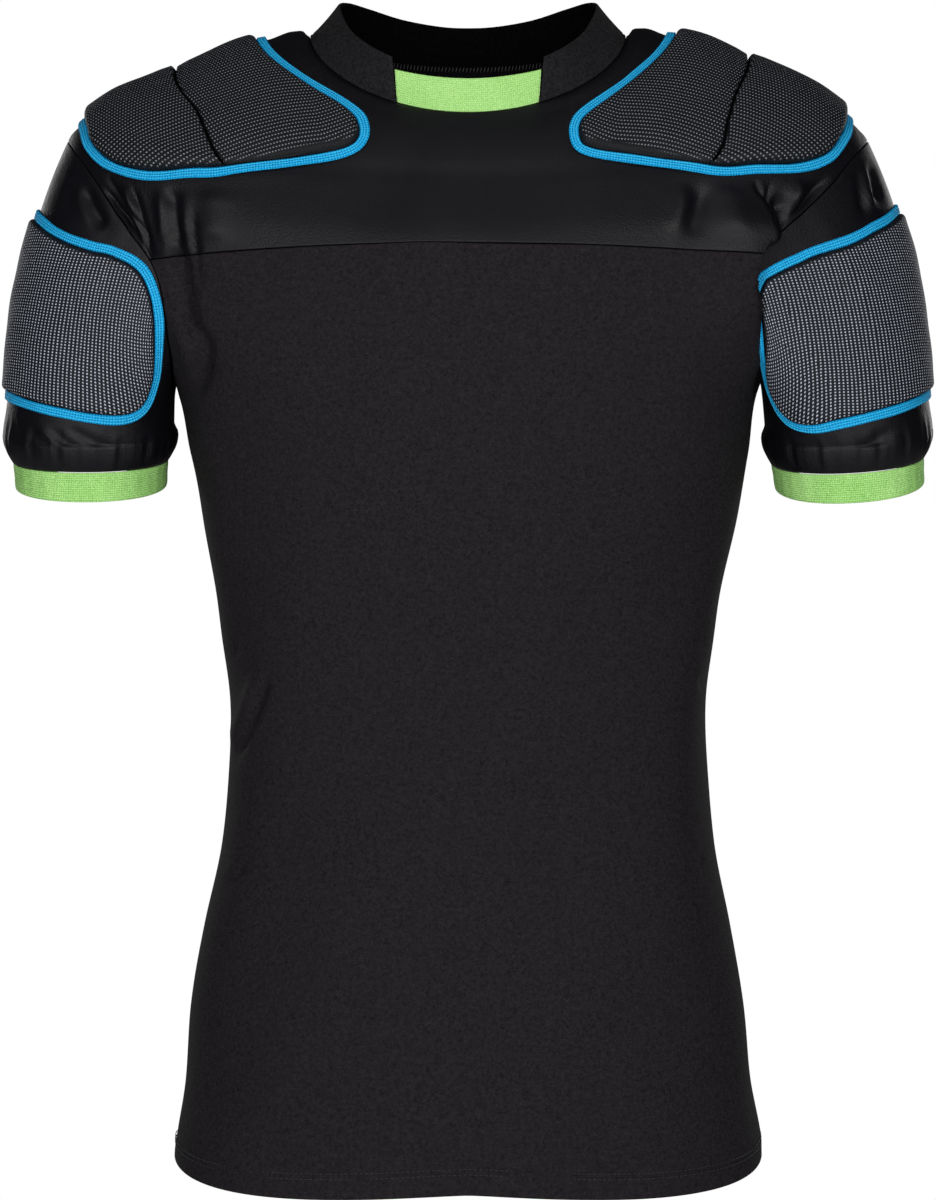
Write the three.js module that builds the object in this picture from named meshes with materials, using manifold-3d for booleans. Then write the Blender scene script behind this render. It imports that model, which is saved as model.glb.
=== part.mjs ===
// Protective rugby top, short sleeved, hollow, filled out as worn with arms down.
// Millimetres, +Z up, front towards -Y, +X to the viewer's right.
// Origin: middle of the neck base, at the height of the highest shoulder point.
import * as THREE from 'three';
import Module from 'manifold-3d';
import { mergeVertices } from 'three/addons/utils/BufferGeometryUtils.js';

const wasm = await Module();
wasm.setup();

// ------------------------------------------------------------------ driving dimensions
const WALL = { body: 1.5, yoke: 1.4, sleeve: 1.4, collar: 2.2, tab: 1.5, cuff: 2.0 };
const SEAM_GAP = 0.3;            // between the edges of two sewn pieces
const NECK_LEVEL = 759;          // form level of the neck seam
const YOKE_LEVEL = 541.25;       // form level of the seam under the yoke, and of the middle of the armhole
const ARMHOLE_HALF = 64.75;      // half of the armhole, in form levels
const PAD_LIFT = 0.85;           // underside of pads and bindings above the cloth
const SHOULDER_PAD_THICK = { inner: 5.6, outer: 7.8 };
const BICEP_PAD_THICK = 4.6;
const BINDING_WIDTH = 5.8;
const BINDING_THICK = 1.7;
const BINDING_GAP = 0.45;        // binding to pad
const GROOVE_HALF = 0.5;         // half of the slit between the two shoulder segments
const COLLAR_END_GIRTH = 63.4;   // front edge of the collar, degrees forward of the side
const TAB_TOP = { x: 45.1, y: -70.0, z: -34.8, endBack: 4.1, endRise: 6.1 };
const RIGHT_SHOULDER_LIFT = 4.5; // the shoulder at +X sits a little higher
const HEM_DROP = 7.2; // how much lower the front hem hangs between its middle and the sides

const deg = Math.PI / 180;
const COLLAR_END = COLLAR_END_GIRTH * deg;
const table = (columns, rows) => {
  const names = columns.split(' ');
  return rows.map((r) => Object.fromEntries(names.map((n, i) => [n, r[i]])));
};

// Girths of the torso form, hem to neck. Each is a superellipse of half width and front or back
// depth, whose height goes from sideZ at the sides to frontZ and backZ at the middle.
const TORSO = table('level halfWidth sideZ frontDepth frontZ backDepth backZ round dip', [
  [0, 181.3, -690.5, 113, -703.0, 109, -703.0, 2.35, 1.2],
  [14, 180.9, -680.0, 113, -688.0, 109, -688.0, 2.35, 1.4],
  [44, 176.0, -648.0, 112, -650.0, 108, -650.0, 2.35, 2.0],
  [94, 170.4, -597.0, 110, -597.0, 106, -597.0, 2.35, 2.0],
  [143, 162.3, -548.0, 105, -548.0, 101, -548.0, 2.35, 2.0],
  [193, 151.8, -498.0, 100, -498.0, 93, -498.0, 2.35, 2.0],
  [230, 147.9, -461.0, 98, -461.0, 87, -461.0, 2.35, 2.0],
  [280, 147.5, -411.0, 98, -411.0, 84, -411.0, 2.35, 2.0],
  [316, 151.5, -375.0, 100, -375.0, 86, -375.0, 2.35, 2.0],
  [341, 154.5, -350.0, 103, -350.0, 89, -350.0, 2.35, 2.0],
  [391, 165.4, -300.0, 111, -300.0, 98, -300.0, 2.35, 2.0],
  [432, 172.6, -259.0, 116, -259.0, 105, -259.0, 2.35, 2.0],
  [476.5, 181.8, -214.5, 118, -214.0, 110, -214.0, 2.4, 2.0],
  [508, 204.0, -182.0, 115, -176.0, 112, -178.0, 2.4, 2.0],
  [541.25, 226.0, -148.0, 108, -137.0, 112, -137.0, 2.35, 2.0],
  [560, 240.0, -120.0, 105, -127.0, 110, -120.0, 2.3, 2.0],
  [580, 249.0, -98.0, 101, -117.0, 107, -102.0, 2.25, 2.0],
  [594, 251.0, -80.0, 98, -110.0, 104, -90.0, 2.2, 2.0],
  [606, 247.5, -65.5, 95, -103.0, 101, -79.0, 2.2, 1.9],
  [621, 238.5, -55.0, 92, -96.0, 98, -67.0, 2.15, 1.8],
  [643, 219.0, -42.0, 89, -86.0, 93, -53.0, 2.1, 1.7],
  [681, 181.0, -26.0, 84, -74.5, 86, -36.0, 2.1, 1.55],
  [731, 130.0, -3.5, 77, -63.0, 77, -19.0, 2.05, 1.35],
  [759, 98.0, 0.0, 72, -55.5, 70, -10.0, 2.0, 1.2],
]);

// Girth angle that the armhole reaches, by the angle round it: 0 top, 90 front, 180 underarm, 270 back.
const ARMHOLE = table('round left right', [
  [0, 40.0, 48.0], [22.5, 44.0, 48.5], [45, 39.5, 42.0], [67.5, 35.2, 40.3], [78, 34.8, 41.3], [90, 35.8, 45.0],
  [101, 35.9, 45.3], [112.5, 35.8, 44.4], [135, 36.6, 43.0], [157.5, 41, 42], [180, 39.5, 39], [202.5, 40.5, 36.5], [225, 37, 34],
  [270, 33.0, 34.0], [315, 33.0, 34.0], [360, 40.0, 48.0],
]);

// Rings of the sleeve's end. x is outward from the middle of the garment, fall is how far the front
// hangs below the middle, rise how far the outer side stands above it.
const SLEEVE_END = {
  L: table('ring x y z halfWidth halfDepth fall rise', [
    ['blouse', 234.6, 7, -245.5, 51.8, 53.5, 9.5, 0.0],
    ['cuffTop', 234.5, 8, -262.8, 47.8, 50.0, 9.3, 0.0],
    ['cuffEdge', 234.3, 10, -278.6, 46.8, 48.8, 11.4, 0.0],
  ]),
  R: table('ring x y z halfWidth halfDepth fall rise', [
    ['blouse', 235.6, 7, -245.0, 50.6, 53.5, 10.5, 2.5],
    ['cuffTop', 235.9, 8, -262.0, 47.2, 50.0, 10.5, 3.0],
    ['cuffEdge', 237.4, 10, -277.8, 46.2, 48.8, 12.6, 3.0],
  ]),
};
const CUFF_ROUND = 2.15;

// Upper edge of the collar, from the front edge round to the middle of the back (girth: degrees
// forward of the side).
const COLLAR_TOP = table('girth x y z', [
  [63.4, 46.3, -66.5, -21.5], [44, 60.5, -53.5, -12.5], [24, 72.5, -32.5, 0.0], [8, 79.0, -9.5, 14.0],
  [-6, 80.5, 8.5, 21.6], [-20, 76.0, 25.0, 24.4], [-40, 62.0, 40.0, 22.3], [-62, 38.0, 52.5, 16.6], [-84, 8.6, 57.9, 13.3],
  [-90, 0, 58.0, 13.2],
]);

// Middle of the binding round each shoulder pad: girth (degrees forward of the side) and form level.
const SHOULDER_OUTLINE = table('girthL levelL girthR levelR', [
  [2.0, 733.0, -2.0, 734.5], [21.0, 734.5, 19.0, 736.5], [37.0, 735.5, 35.0, 737.0], [52.5, 732.0, 50.5, 731.0],
  [62.5, 719.0, 61.5, 718.0], [68.2, 696.0, 67.6, 696.0], [71.3, 666.0, 71.2, 663.0], [70.6, 643.0, 70.6, 643.5],
  [64.3, 624.0, 64.2, 626.3], [55.4, 604.5, 55.4, 603.6], [49.7, 599.1, 47.5, 599.1], [42.0, 593.4, 39.5, 596.0],
  [33.0, 596.0, 31.5, 599.6], [25.0, 604.0, 23.5, 610.0], [15.0, 616.5, 12.0, 622.0], [0.0, 623.5, -3.0, 627.5],
  [-16.0, 619.0, -17.0, 622.0], [-29.0, 611.5, -29.0, 613.0], [-39.0, 613.0, -39.0, 614.5], [-46.5, 630.0, -46.5, 631.0],
  [-50.0, 657.0, -50.0, 658.0], [-49.0, 688.0, -49.0, 689.0], [-43.0, 714.0, -43.0, 715.0], [-31.0, 728.0, -32.0, 729.0],
  [-15.0, 733.0, -17.0, 734.0],
]);
// Slit between the two foam segments, front to back.
const SHOULDER_SLIT = table('girthL levelL girthR levelR', [
  [55.4, 606.0, 55.4, 606.0], [46.5, 637.4, 43.2, 650.0], [33.5, 664.0, 28.5, 677.0], [7.2, 681.7, 4.0, 690.0],
  [-17.0, 681.0, -18.0, 686.0], [-31.0, 671.0, -31.0, 673.0], [-41.0, 655.0, -41.0, 656.0], [-46.5, 637.0, -46.5, 638.0],
]);

// Middle of the binding round each bicep pad: angle round the sleeve and share of its length.
const BICEP_OUTLINE = table('roundL lengthL roundR lengthR', [
  [2, 0.252, 2, 0.238], [19, 0.250, 14, 0.236], [34, 0.238, 28, 0.230], [45, 0.217, 43, 0.205], [55, 0.187, 52, 0.188],
  [66, 0.150, 60, 0.168], [76, 0.102, 68, 0.145], [85, 0.062, 75, 0.126], [93, 0.047, 82, 0.112], [101, 0.046, 90, 0.105],
  [109, 0.049, 98, 0.105], [116, 0.064, 107, 0.107], [122, 0.106, 115, 0.112], [128, 0.190, 123, 0.125], [132, 0.320, 130, 0.155],
  [132, 0.480, 137, 0.220], [130, 0.620, 141, 0.330], [126, 0.720, 140, 0.500], [119, 0.795, 136, 0.680], [108, 0.838, 128, 0.810],
  [91, 0.856, 114, 0.875], [72, 0.860, 93, 0.881], [49, 0.858, 70, 0.875], [25, 0.860, 40, 0.870], [2, 0.866, 10, 0.872],
  [-24, 0.872, -18, 0.872], [-48, 0.868, -48, 0.868], [-68, 0.852, -68, 0.852], [-84, 0.800, -84, 0.800], [-94, 0.690, -94, 0.690],
  [-99, 0.540, -99, 0.540], [-98, 0.400, -98, 0.400], [-91, 0.285, -91, 0.285], [-78, 0.225, -78, 0.225], [-60, 0.222, -60, 0.222],
  [-40, 0.238, -40, 0.232], [-19, 0.248, -19, 0.237],
]);
const BICEP_HEART = { L: [22, 0.54], R: [26, 0.54] };

// ------------------------------------------------------------------ small vector helpers
const add = (a, b) => [a[0] + b[0], a[1] + b[1], a[2] + b[2]];
const sub = (a, b) => [a[0] - b[0], a[1] - b[1], a[2] - b[2]];
const mul = (a, k) => [a[0] * k, a[1] * k, a[2] * k];
const dot = (a, b) => a[0] * b[0] + a[1] * b[1] + a[2] * b[2];
const cross = (a, b) => [a[1] * b[2] - a[2] * b[1], a[2] * b[0] - a[0] * b[2], a[0] * b[1] - a[1] * b[0]];
const len = (a) => Math.sqrt(dot(a, a));
const unit = (a) => mul(a, 1 / (len(a) || 1));
const mix = (a, b, u) => a.map((v, i) => v + (b[i] - v) * u);
const clamp = (v, lo = 0, hi = 1) => Math.min(hi, Math.max(lo, v));
const smooth = (v) => { const u = clamp(v); return u * u * (3 - 2 * u); };

// Piecewise linear reading of one column of a table.
const read = (rows, key, column, x) => {
  let i = 0;
  while (i < rows.length - 2 && x > rows[i + 1][key]) i += 1;
  const a = rows[i];
  const b = rows[i + 1];
  return a[column] + (b[column] - a[column]) * ((x - a[key]) / (b[key] - a[key]));
};

// Smooth reading of every column of a table whose first column rises.
const smoothRead = (rows, names) => {
  const key = Object.keys(rows[0])[0];
  const t = rows.map((r) => r[key]);
  const v = rows.map((r) => names.map((n) => r[n]));
  const slope = t.slice(1).map((x, i) => v[i + 1].map((w, k) => (w - v[i][k]) / (x - t[i])));
  const tangent = t.map((x, i) => {
    if (i === 0) return slope[0];
    if (i === t.length - 1) return slope[i - 1];
    const h0 = t[i] - t[i - 1];
    const h1 = t[i + 1] - t[i];
    return slope[i].map((s, k) => (slope[i - 1][k] * h1 + s * h0) / (h0 + h1));
  });
  return (x) => {
    let i = 0;
    while (i < t.length - 2 && x >= t[i + 1]) i += 1;
    const h = t[i + 1] - t[i];
    const u = (x - t[i]) / h;
    const a = 2 * u ** 3 - 3 * u ** 2 + 1;
    const b = u ** 3 - 2 * u ** 2 + u;
    const c = 3 * u ** 2 - 2 * u ** 3;
    const d = u ** 3 - u ** 2;
    return v[i].map((w, k) => w * a + tangent[i][k] * h * b + v[i + 1][k] * c + tangent[i + 1][k] * h * d);
  };
};

// ------------------------------------------------------------------ the torso form
const torsoAt = smoothRead(TORSO, ['halfWidth', 'sideZ', 'frontDepth', 'frontZ', 'backDepth', 'backZ', 'round', 'dip']);
// theta: 0 at the +X side, 90 degrees at the front middle, 180 at the -X side, 270 at the back.
const form = (theta, level) => {
  const [halfWidth, sideZ, frontDepth, frontZ, backDepth, backZ, round, dip] = torsoAt(level);
  const c = Math.cos(theta);
  const s = Math.sin(theta);
  const k = (Math.abs(c) ** round + Math.abs(s) ** round) ** (-1 / round);
  const x = halfWidth * c * k;
  const y = -(s >= 0 ? frontDepth : backDepth) * s * k;
  let z = sideZ + ((s >= 0 ? frontZ : backZ) - sideZ) * Math.abs(s) ** dip;
  z += RIGHT_SHOULDER_LIFT * smooth((x - 92) / 60) * smooth((246 - x) / 60) * clamp((level - 560) / 60) * clamp(1 - s * s);
  if (s > 0) z -= HEM_DROP * Math.abs(2 * s * c) ** 1.3 * (1 - smooth(level / 120));
  return [x, y, z];
};
const formNormal = (theta, level) => {
  const e = 1e-3;
  const lo = Math.max(level - 0.05, 0);
  const hi = Math.min(level + 0.05, NECK_LEVEL);
  return unit(cross(sub(form(theta, hi), form(theta, lo)), sub(form(theta + e, level), form(theta - e, level))));
};

// ------------------------------------------------------------------ the sleeves
const outward = (side) => (side === 'R' ? 1 : -1);
const turn = (side, girth) => (side === 'R' ? girth : Math.PI - girth);
const armhole = (side, round) => {
  const around = ((round / deg) % 360 + 360) % 360;
  const reach = read(ARMHOLE, 'round', side === 'R' ? 'right' : 'left', around) * deg;
  return [turn(side, reach * Math.sin(round)), YOKE_LEVEL + ARMHOLE_HALF * Math.cos(round)];
};
const sleeveRing = (side, ring, round) => {
  const r = SLEEVE_END[side].find((row) => row.ring === ring);
  const c = Math.cos(round);
  const s = Math.sin(round);
  const k = (Math.abs(c) ** CUFF_ROUND + Math.abs(s) ** CUFF_ROUND) ** (-1 / CUFF_ROUND);
  return [outward(side) * (r.x + r.halfWidth * c * k), r.y - r.halfDepth * s * k, r.z - r.fall * s * k + r.rise * c * k];
};
// round: 0 outer side, 90 degrees front, 180 next to the torso; share: 0 armhole, 1 fullest ring over the cuff.
const sleeve = (side, round, share) => {
  const start = form(...armhole(side, round));
  const end = sleeveRing(side, 'blouse', round);
  const way = sub(end, start);
  const s = Math.sin(round);
  const up = ((1 + Math.cos(round)) / 2) ** 1.3;
  const around = ((round / deg) % 360 + 360) % 360;
  const tuck = side === 'R' ? clamp((175 - around) / 50) * clamp((around - 60) / 40) : 0;
  const leave = add(way, [outward(side) * (47 * up + 14 * Math.abs(s) - 17 * tuck), -(s > 0 ? 4 : -6) * Math.abs(s) + 20 * tuck, -4 * (1 - up)]);
  const arrive = add(way, [-outward(side) * 30 * up, 0, -3 * (1 - up)]);
  const u = share;
  const a = 2 * u ** 3 - 3 * u ** 2 + 1;
  const b = u ** 3 - 2 * u ** 2 + u;
  const c = 3 * u ** 2 - 2 * u ** 3;
  const d = u ** 3 - u ** 2;
  return [0, 1, 2].map((k) => start[k] * a + leave[k] * b + end[k] * c + arrive[k] * d);
};
const sleeveNormal = (side, round, share) => {
  const e = 1e-3;
  const lo = Math.max(share - e, 0);
  const hi = Math.min(share + e, 1);
  const n = cross(sub(sleeve(side, round + e, share), sleeve(side, round - e, share)), sub(sleeve(side, round, hi), sleeve(side, round, lo)));
  return mul(unit(n), outward(side));
};

// ------------------------------------------------------------------ solids from grids of points
const group = new THREE.Group();
const finishes = {
  knit: [0x242226, 0.9], lycra: [0x1b1a1f, 0.5], collar: [0x1d1c1f, 0.92], mesh: [0x3a3a40, 0.85], binding: [0x18a3d6, 0.7], lime: [0xa6e07a, 0.75],
};
const meshOf = (name, points, faces, finish) => {
  let volume = 0;
  for (const [a, b, c] of faces) volume += dot(points[a], cross(points[b], points[c]));
  const geometry = new THREE.BufferGeometry();
  geometry.setAttribute('position', new THREE.Float32BufferAttribute(points.flat(), 3));
  geometry.setIndex((volume > 0 ? faces : faces.map(([a, b, c]) => [a, c, b])).flat());
  geometry.computeVertexNormals();
  const [color, roughness] = finishes[finish];
  const mesh = new THREE.Mesh(geometry, new THREE.MeshStandardMaterial({ color, roughness, metalness: 0 }));
  mesh.name = name;
  group.add(mesh);
  return mesh;
};

const solidOf = (points, faces) => {
  const g = new THREE.BufferGeometry();
  g.setAttribute('position', new THREE.Float32BufferAttribute(points.flat(), 3));
  let volume = 0;
  for (const [a, b, c] of faces) volume += dot(points[a], cross(points[b], points[c]));
  g.setIndex((volume > 0 ? faces : faces.map(([a, b, c]) => [a, c, b])).flat());
  const merged = mergeVertices(g, 1e-3);
  return new wasm.Manifold(new wasm.Mesh({
    numProp: 3, vertProperties: new Float32Array(merged.attributes.position.array), triVerts: new Uint32Array(merged.index.array),
  }));
};

// A wall between an outer and an inner grid, rows by columns; closed says that columns go all round.
// Each quad is split along the shorter diagonal of the grid like.
const wallFaces = (outer, inner, closed, like = outer) => {
  const rows = outer.length;
  const cols = outer[0].length;
  const points = [...outer.flat(), ...inner.flat()];
  const at = (layer, i, j) => layer * rows * cols + i * cols + (j % cols);
  const faces = [];
  const guide = like.flat();
  const quad = (a, b, c, d, flip) => {
    const short = len(sub(points[a], points[c])) <= len(sub(points[b], points[d]));
    const two = short ? [[a, b, c], [a, c, d]] : [[a, b, d], [b, c, d]];
    for (const [p, q, r] of two) faces.push(flip ? [p, r, q] : [p, q, r]);
  };
  const span = closed ? cols : cols - 1;
  for (let i = 0; i < rows - 1; i += 1) {
    for (let j = 0; j < span; j += 1) {
      const [a, b, c, d] = [[i, j], [i + 1, j], [i + 1, j + 1], [i, j + 1]].map(([p, q]) => at(0, p, q));
      const short = len(sub(guide[a], guide[c])) <= len(sub(guide[b], guide[d]));
      const two = short ? [[a, b, c], [a, c, d]] : [[a, b, d], [b, c, d]];
      const under = rows * cols;
      for (const [p, q, r] of two) {
        faces.push([p, q, r]);
        faces.push([p + under, r + under, q + under]);
      }
    }
  }
  for (let j = 0; j < span; j += 1) {
    quad(at(0, 0, j), at(0, 0, j + 1), at(1, 0, j + 1), at(1, 0, j), false);
    quad(at(0, rows - 1, j), at(0, rows - 1, j + 1), at(1, rows - 1, j + 1), at(1, rows - 1, j), true);
  }
  if (!closed) {
    for (let i = 0; i < rows - 1; i += 1) {
      quad(at(0, i, 0), at(0, i + 1, 0), at(1, i + 1, 0), at(1, i, 0), true);
      quad(at(0, i, cols - 1), at(0, i + 1, cols - 1), at(1, i + 1, cols - 1), at(1, i, cols - 1), false);
    }
  }
  return [points, faces];
};
const wall = (name, finish, outer, inner, closed) => meshOf(name, ...wallFaces(outer, inner, closed), finish);

// The room that a panel takes up: from SEAM_GAP above its outer points to well inside.
const skin = (outer, normals) => {
  const moved = (height) => outer.map((line, i) => line.map((p, j) => add(p, mul(normals[i][j], height))));
  return solidOf(...wallFaces(moved(SEAM_GAP), moved(-11), true, outer));
};

// ------------------------------------------------------------------ sewn edges
// At a seam, the pieces on both sides lean on one mitre, so that their walls never cross.
// n1, n2: outward normals; d1, d2: directions in which each cloth leaves the seam.
const mitre = (n1, d1, n2, d2) => {
  const hollow = dot(d2, n1) > 0 ? 1 : -1;
  const inward = unit(add(mul(add(n1, n2), -1), mul(add(d1, d2), -hollow)));
  const apart = unit(add(sub(d1, d2), mul(sub(n2, n1), hollow)));
  const depth = (n) => Math.min(1 / Math.max(Math.abs(dot(n, inward)), 0.05), 1.6);
  return { inward, apart, depth1: depth(n1), depth2: depth(n2) };
};
const armholeMitre = (side, round) => {
  const [theta, level] = armhole(side, round);
  const e = 0.01;
  const along = unit(sub(form(...armhole(side, round + e)), form(...armhole(side, round - e))));
  const n1 = formNormal(theta, level);
  const n2 = sleeveNormal(side, round, 0.01);
  const away = sub(sleeve(side, round, 0.03), sleeve(side, round, 0));
  const d2 = unit(sub(away, mul(along, dot(away, along))));
  const middle = form(turn(side, 0), YOKE_LEVEL);
  let d1 = cross(along, n1);
  if (dot(d1, sub(form(theta, level), middle)) < 0) d1 = mul(d1, -1);
  return mitre(n1, unit(d1), n2, d2);
};

// ------------------------------------------------------------------ torso panels
const ARM_STEPS = 6;
const armSteps = (from, to) => Array.from({ length: ARM_STEPS + 1 }, (_, i) => (from + ((to - from) * i) / ARM_STEPS) * deg);
// One column of a torso piece: girth angle, level of its armhole or yoke edge, and the armhole angle there.
const column = (side, round) => {
  const [theta, level] = armhole(side, round);
  return { theta, level, side, round };
};
// Columns between the two armholes; in front, two of them stand on the ends of the collar.
const between = (from, to, front) => {
  const thetas = front
    ? [mix([from], [COLLAR_END], 0.5)[0], COLLAR_END, 76.7 * deg, 90 * deg, 103.3 * deg, Math.PI - COLLAR_END, mix([to], [Math.PI - COLLAR_END], 0.5)[0]]
    : [1, 2, 3, 4, 5, 6, 7].map((i) => from + ((to - from) * i) / 8);
  return thetas.map((theta) => ({ theta, level: YOKE_LEVEL }));
};
const torsoColumns = (half, front) => {
  const [a, b] = front ? [90, half === 'low' ? 180 : 0] : [270, half === 'low' ? 180 : 360];
  const right = armSteps(b, a).map((r) => column('R', r));
  const left = armSteps(a, b).map((r) => column('L', r));
  let from = right[right.length - 1].theta;
  let to = left[0].theta;
  if (!front) { from += 2 * Math.PI; }
  const middle = between(from, to, front);
  return { right, middle, left };
};
// rows: shares of the way from the free edge (hem or neck) to the armhole or yoke seam
const torsoGrid = (columns, rows, edgeLevel, seamShift, thick, sideShift) => {
  const outer = [];
  const inner = [];
  for (const share of rows) {
    const lineOut = [];
    const lineIn = [];
    for (const col of columns) {
      const seamLevel = seamShift > 0 ? Math.max(col.level, YOKE_LEVEL + seamShift) : Math.min(col.level, YOKE_LEVEL + seamShift);
      const level = edgeLevel + (seamLevel - edgeLevel) * share;
      const theta = col.theta + (col.nudge || 0) * sideShift;
      let p = form(theta, level);
      let way = mul(formNormal(theta, level), -thick);
      if (col.side && share > 0.8) {
        const m = armholeMitre(col.side, col.round);
        const w = share === 1 ? 1 : smooth((share - 0.8) / 0.2);
        p = add(p, mul(m.apart, (SEAM_GAP / 2 + 0.03) * w));
        way = mix(way, mul(m.inward, thick * m.depth1), w);
      }
      lineOut.push(p);
      lineIn.push(add(p, way));
    }
    outer.push(lineOut);
    inner.push(lineIn);
  }
  return [outer, inner];
};
const SIDE_NUDGE = 0.0016; // half of the side seam's gap, as a girth angle
const bodyRows = [0, 0.03, 0.13, 0.26, 0.4, 0.54, 0.68, 0.81, 0.92, 1];
for (const front of [true, false]) {
  const { right, middle, left } = torsoColumns('low', front);
  right[0].nudge = front ? 1 : -1;
  left[left.length - 1].nudge = front ? -1 : 1;
  const [outer, inner] = torsoGrid([...right, ...middle, ...left], bodyRows, 0, -SEAM_GAP / 2 - 0.05, WALL.body, SIDE_NUDGE);
  wall(front ? 'front_body' : 'back_body', 'knit', outer, inner, false);
}
// Collar and neck seam
const collarTopAt = smoothRead([...COLLAR_TOP].reverse(), ['x', 'y', 'z']);
const collarPoint = (theta, share) => {
  const c = Math.cos(theta);
  const s = Math.sin(theta);
  const girth = Math.atan2(s, Math.abs(c)) / deg;
  const base = form(theta, NECK_LEVEL);
  const [x, y, z] = collarTopAt(clamp(girth, -90, COLLAR_END_GIRTH));
  const top = [Math.sign(c || 1) * x, y, z];
  return mix(base, top, share);
};
const tabPoint = (theta, share) => {
  const base = form(theta, NECK_LEVEL);
  const over = Math.cos(theta) / Math.cos(COLLAR_END);
  const top = [TAB_TOP.x * over, TAB_TOP.y + TAB_TOP.endBack * over ** 2, TAB_TOP.z + TAB_TOP.endRise * over ** 2];
  return mix(base, top, share);
};
const surfaceNormal = (point, theta, share) => {
  const e = 1e-3;
  const lo = Math.max(share - 0.01, 0);
  const hi = Math.min(share + 0.01, 1);
  const n = unit(cross(sub(point(theta, hi), point(theta, lo)), sub(point(theta + e, share), point(theta - e, share))));
  const p = point(theta, share);
  return dot(n, [p[0], p[1], 0]) < 0 ? mul(n, -1) : n;
};
const neckMitre = (theta) => {
  const frontPart = Math.sin(theta) > Math.sin(COLLAR_END) + 1e-6;
  const point = frontPart ? tabPoint : collarPoint;
  const n1 = formNormal(theta, NECK_LEVEL - 0.1);
  const along = unit(sub(form(theta + 0.01, NECK_LEVEL), form(theta - 0.01, NECK_LEVEL)));
  const away = sub(form(theta, NECK_LEVEL - 2), form(theta, NECK_LEVEL));
  const up = sub(point(theta, 0.3), point(theta, 0));
  const flat = (v) => unit(sub(v, mul(along, dot(v, along))));
  return mitre(n1, flat(away), surfaceNormal(point, theta, 0.1), flat(up));
};
// Yoke: one piece over both shoulders, from the neck seam to the front and back yoke seams.
const neckThetas = [];
let yokeSkin;
{
  const front = torsoColumns('high', true);
  const back = torsoColumns('high', false);
  const columns = [...front.right, ...front.middle, ...front.left, ...back.left.slice(0, -1).reverse(), ...back.middle.reverse(), ...back.right.slice(1).reverse()];
  const rows = [0, 0.11, 0.28, 0.46, 0.64, 0.83, 1];
  const [outer, inner] = torsoGrid(columns, rows, NECK_LEVEL, SEAM_GAP / 2 + 0.05, WALL.yoke, 0);
  neckThetas.push(...columns.map((col) => col.theta));
  yokeSkin = skin(outer, rows.map((share) => columns.map((col) => formNormal(col.theta, NECK_LEVEL + (col.level - NECK_LEVEL) * share))));
  columns.forEach((col, j) => {
    const m = neckMitre(col.theta);
    const p = add(form(col.theta, NECK_LEVEL), mul(m.apart, SEAM_GAP / 2 + 0.03));
    outer[0][j] = p;
    inner[0][j] = add(p, mul(m.inward, WALL.yoke * m.depth1));
  });
  wall('yoke', 'lycra', outer, inner, true);
}
{
  const isFront = (theta) => Math.sin(theta) > Math.sin(COLLAR_END) + 1e-6;
  const first = neckThetas.findIndex((theta, i) => !isFront(theta) && isFront(neckThetas[(i + neckThetas.length - 1) % neckThetas.length]));
  const thetas = neckThetas.map((_, i) => neckThetas[(first + i) % neckThetas.length]).filter((theta) => !isFront(theta));
  const shares = [0, 0.5, 1];
  const outer = shares.map((share) => thetas.map((theta) => collarPoint(theta, share)));
  const inner = shares.map((share, i) => thetas.map((theta, j) => add(outer[i][j], mul(surfaceNormal(collarPoint, theta, share), -WALL.collar))));
  thetas.forEach((theta, j) => {
    const m = neckMitre(theta);
    outer[0][j] = add(outer[0][j], mul(m.apart, -SEAM_GAP / 2 - 0.03));
    inner[0][j] = add(outer[0][j], mul(m.inward, WALL.collar * Math.min(m.depth2, 1.3)));
  });
  wall('collar', 'collar', outer, inner, false);
}
{
  const end = COLLAR_END + 0.5 / 66;
  const thetas = [end, 76.7 * deg, 90 * deg, 103.3 * deg, Math.PI - end];
  const shares = [0, 0.5, 1];
  const outer = shares.map((share) => thetas.map((theta) => tabPoint(theta, share)));
  const inner = shares.map((share, i) => thetas.map((theta, j) => add(outer[i][j], mul(surfaceNormal(tabPoint, theta, share), -WALL.tab))));
  thetas.forEach((theta, j) => {
    const m = neckMitre(theta);
    outer[0][j] = add(outer[0][j], mul(m.apart, -SEAM_GAP / 2 - 0.03));
    inner[0][j] = add(outer[0][j], mul(m.inward, WALL.tab * Math.min(m.depth2, 1.3)));
  });
  wall('collar_tab', 'lime', outer, inner, false);
}

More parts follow.
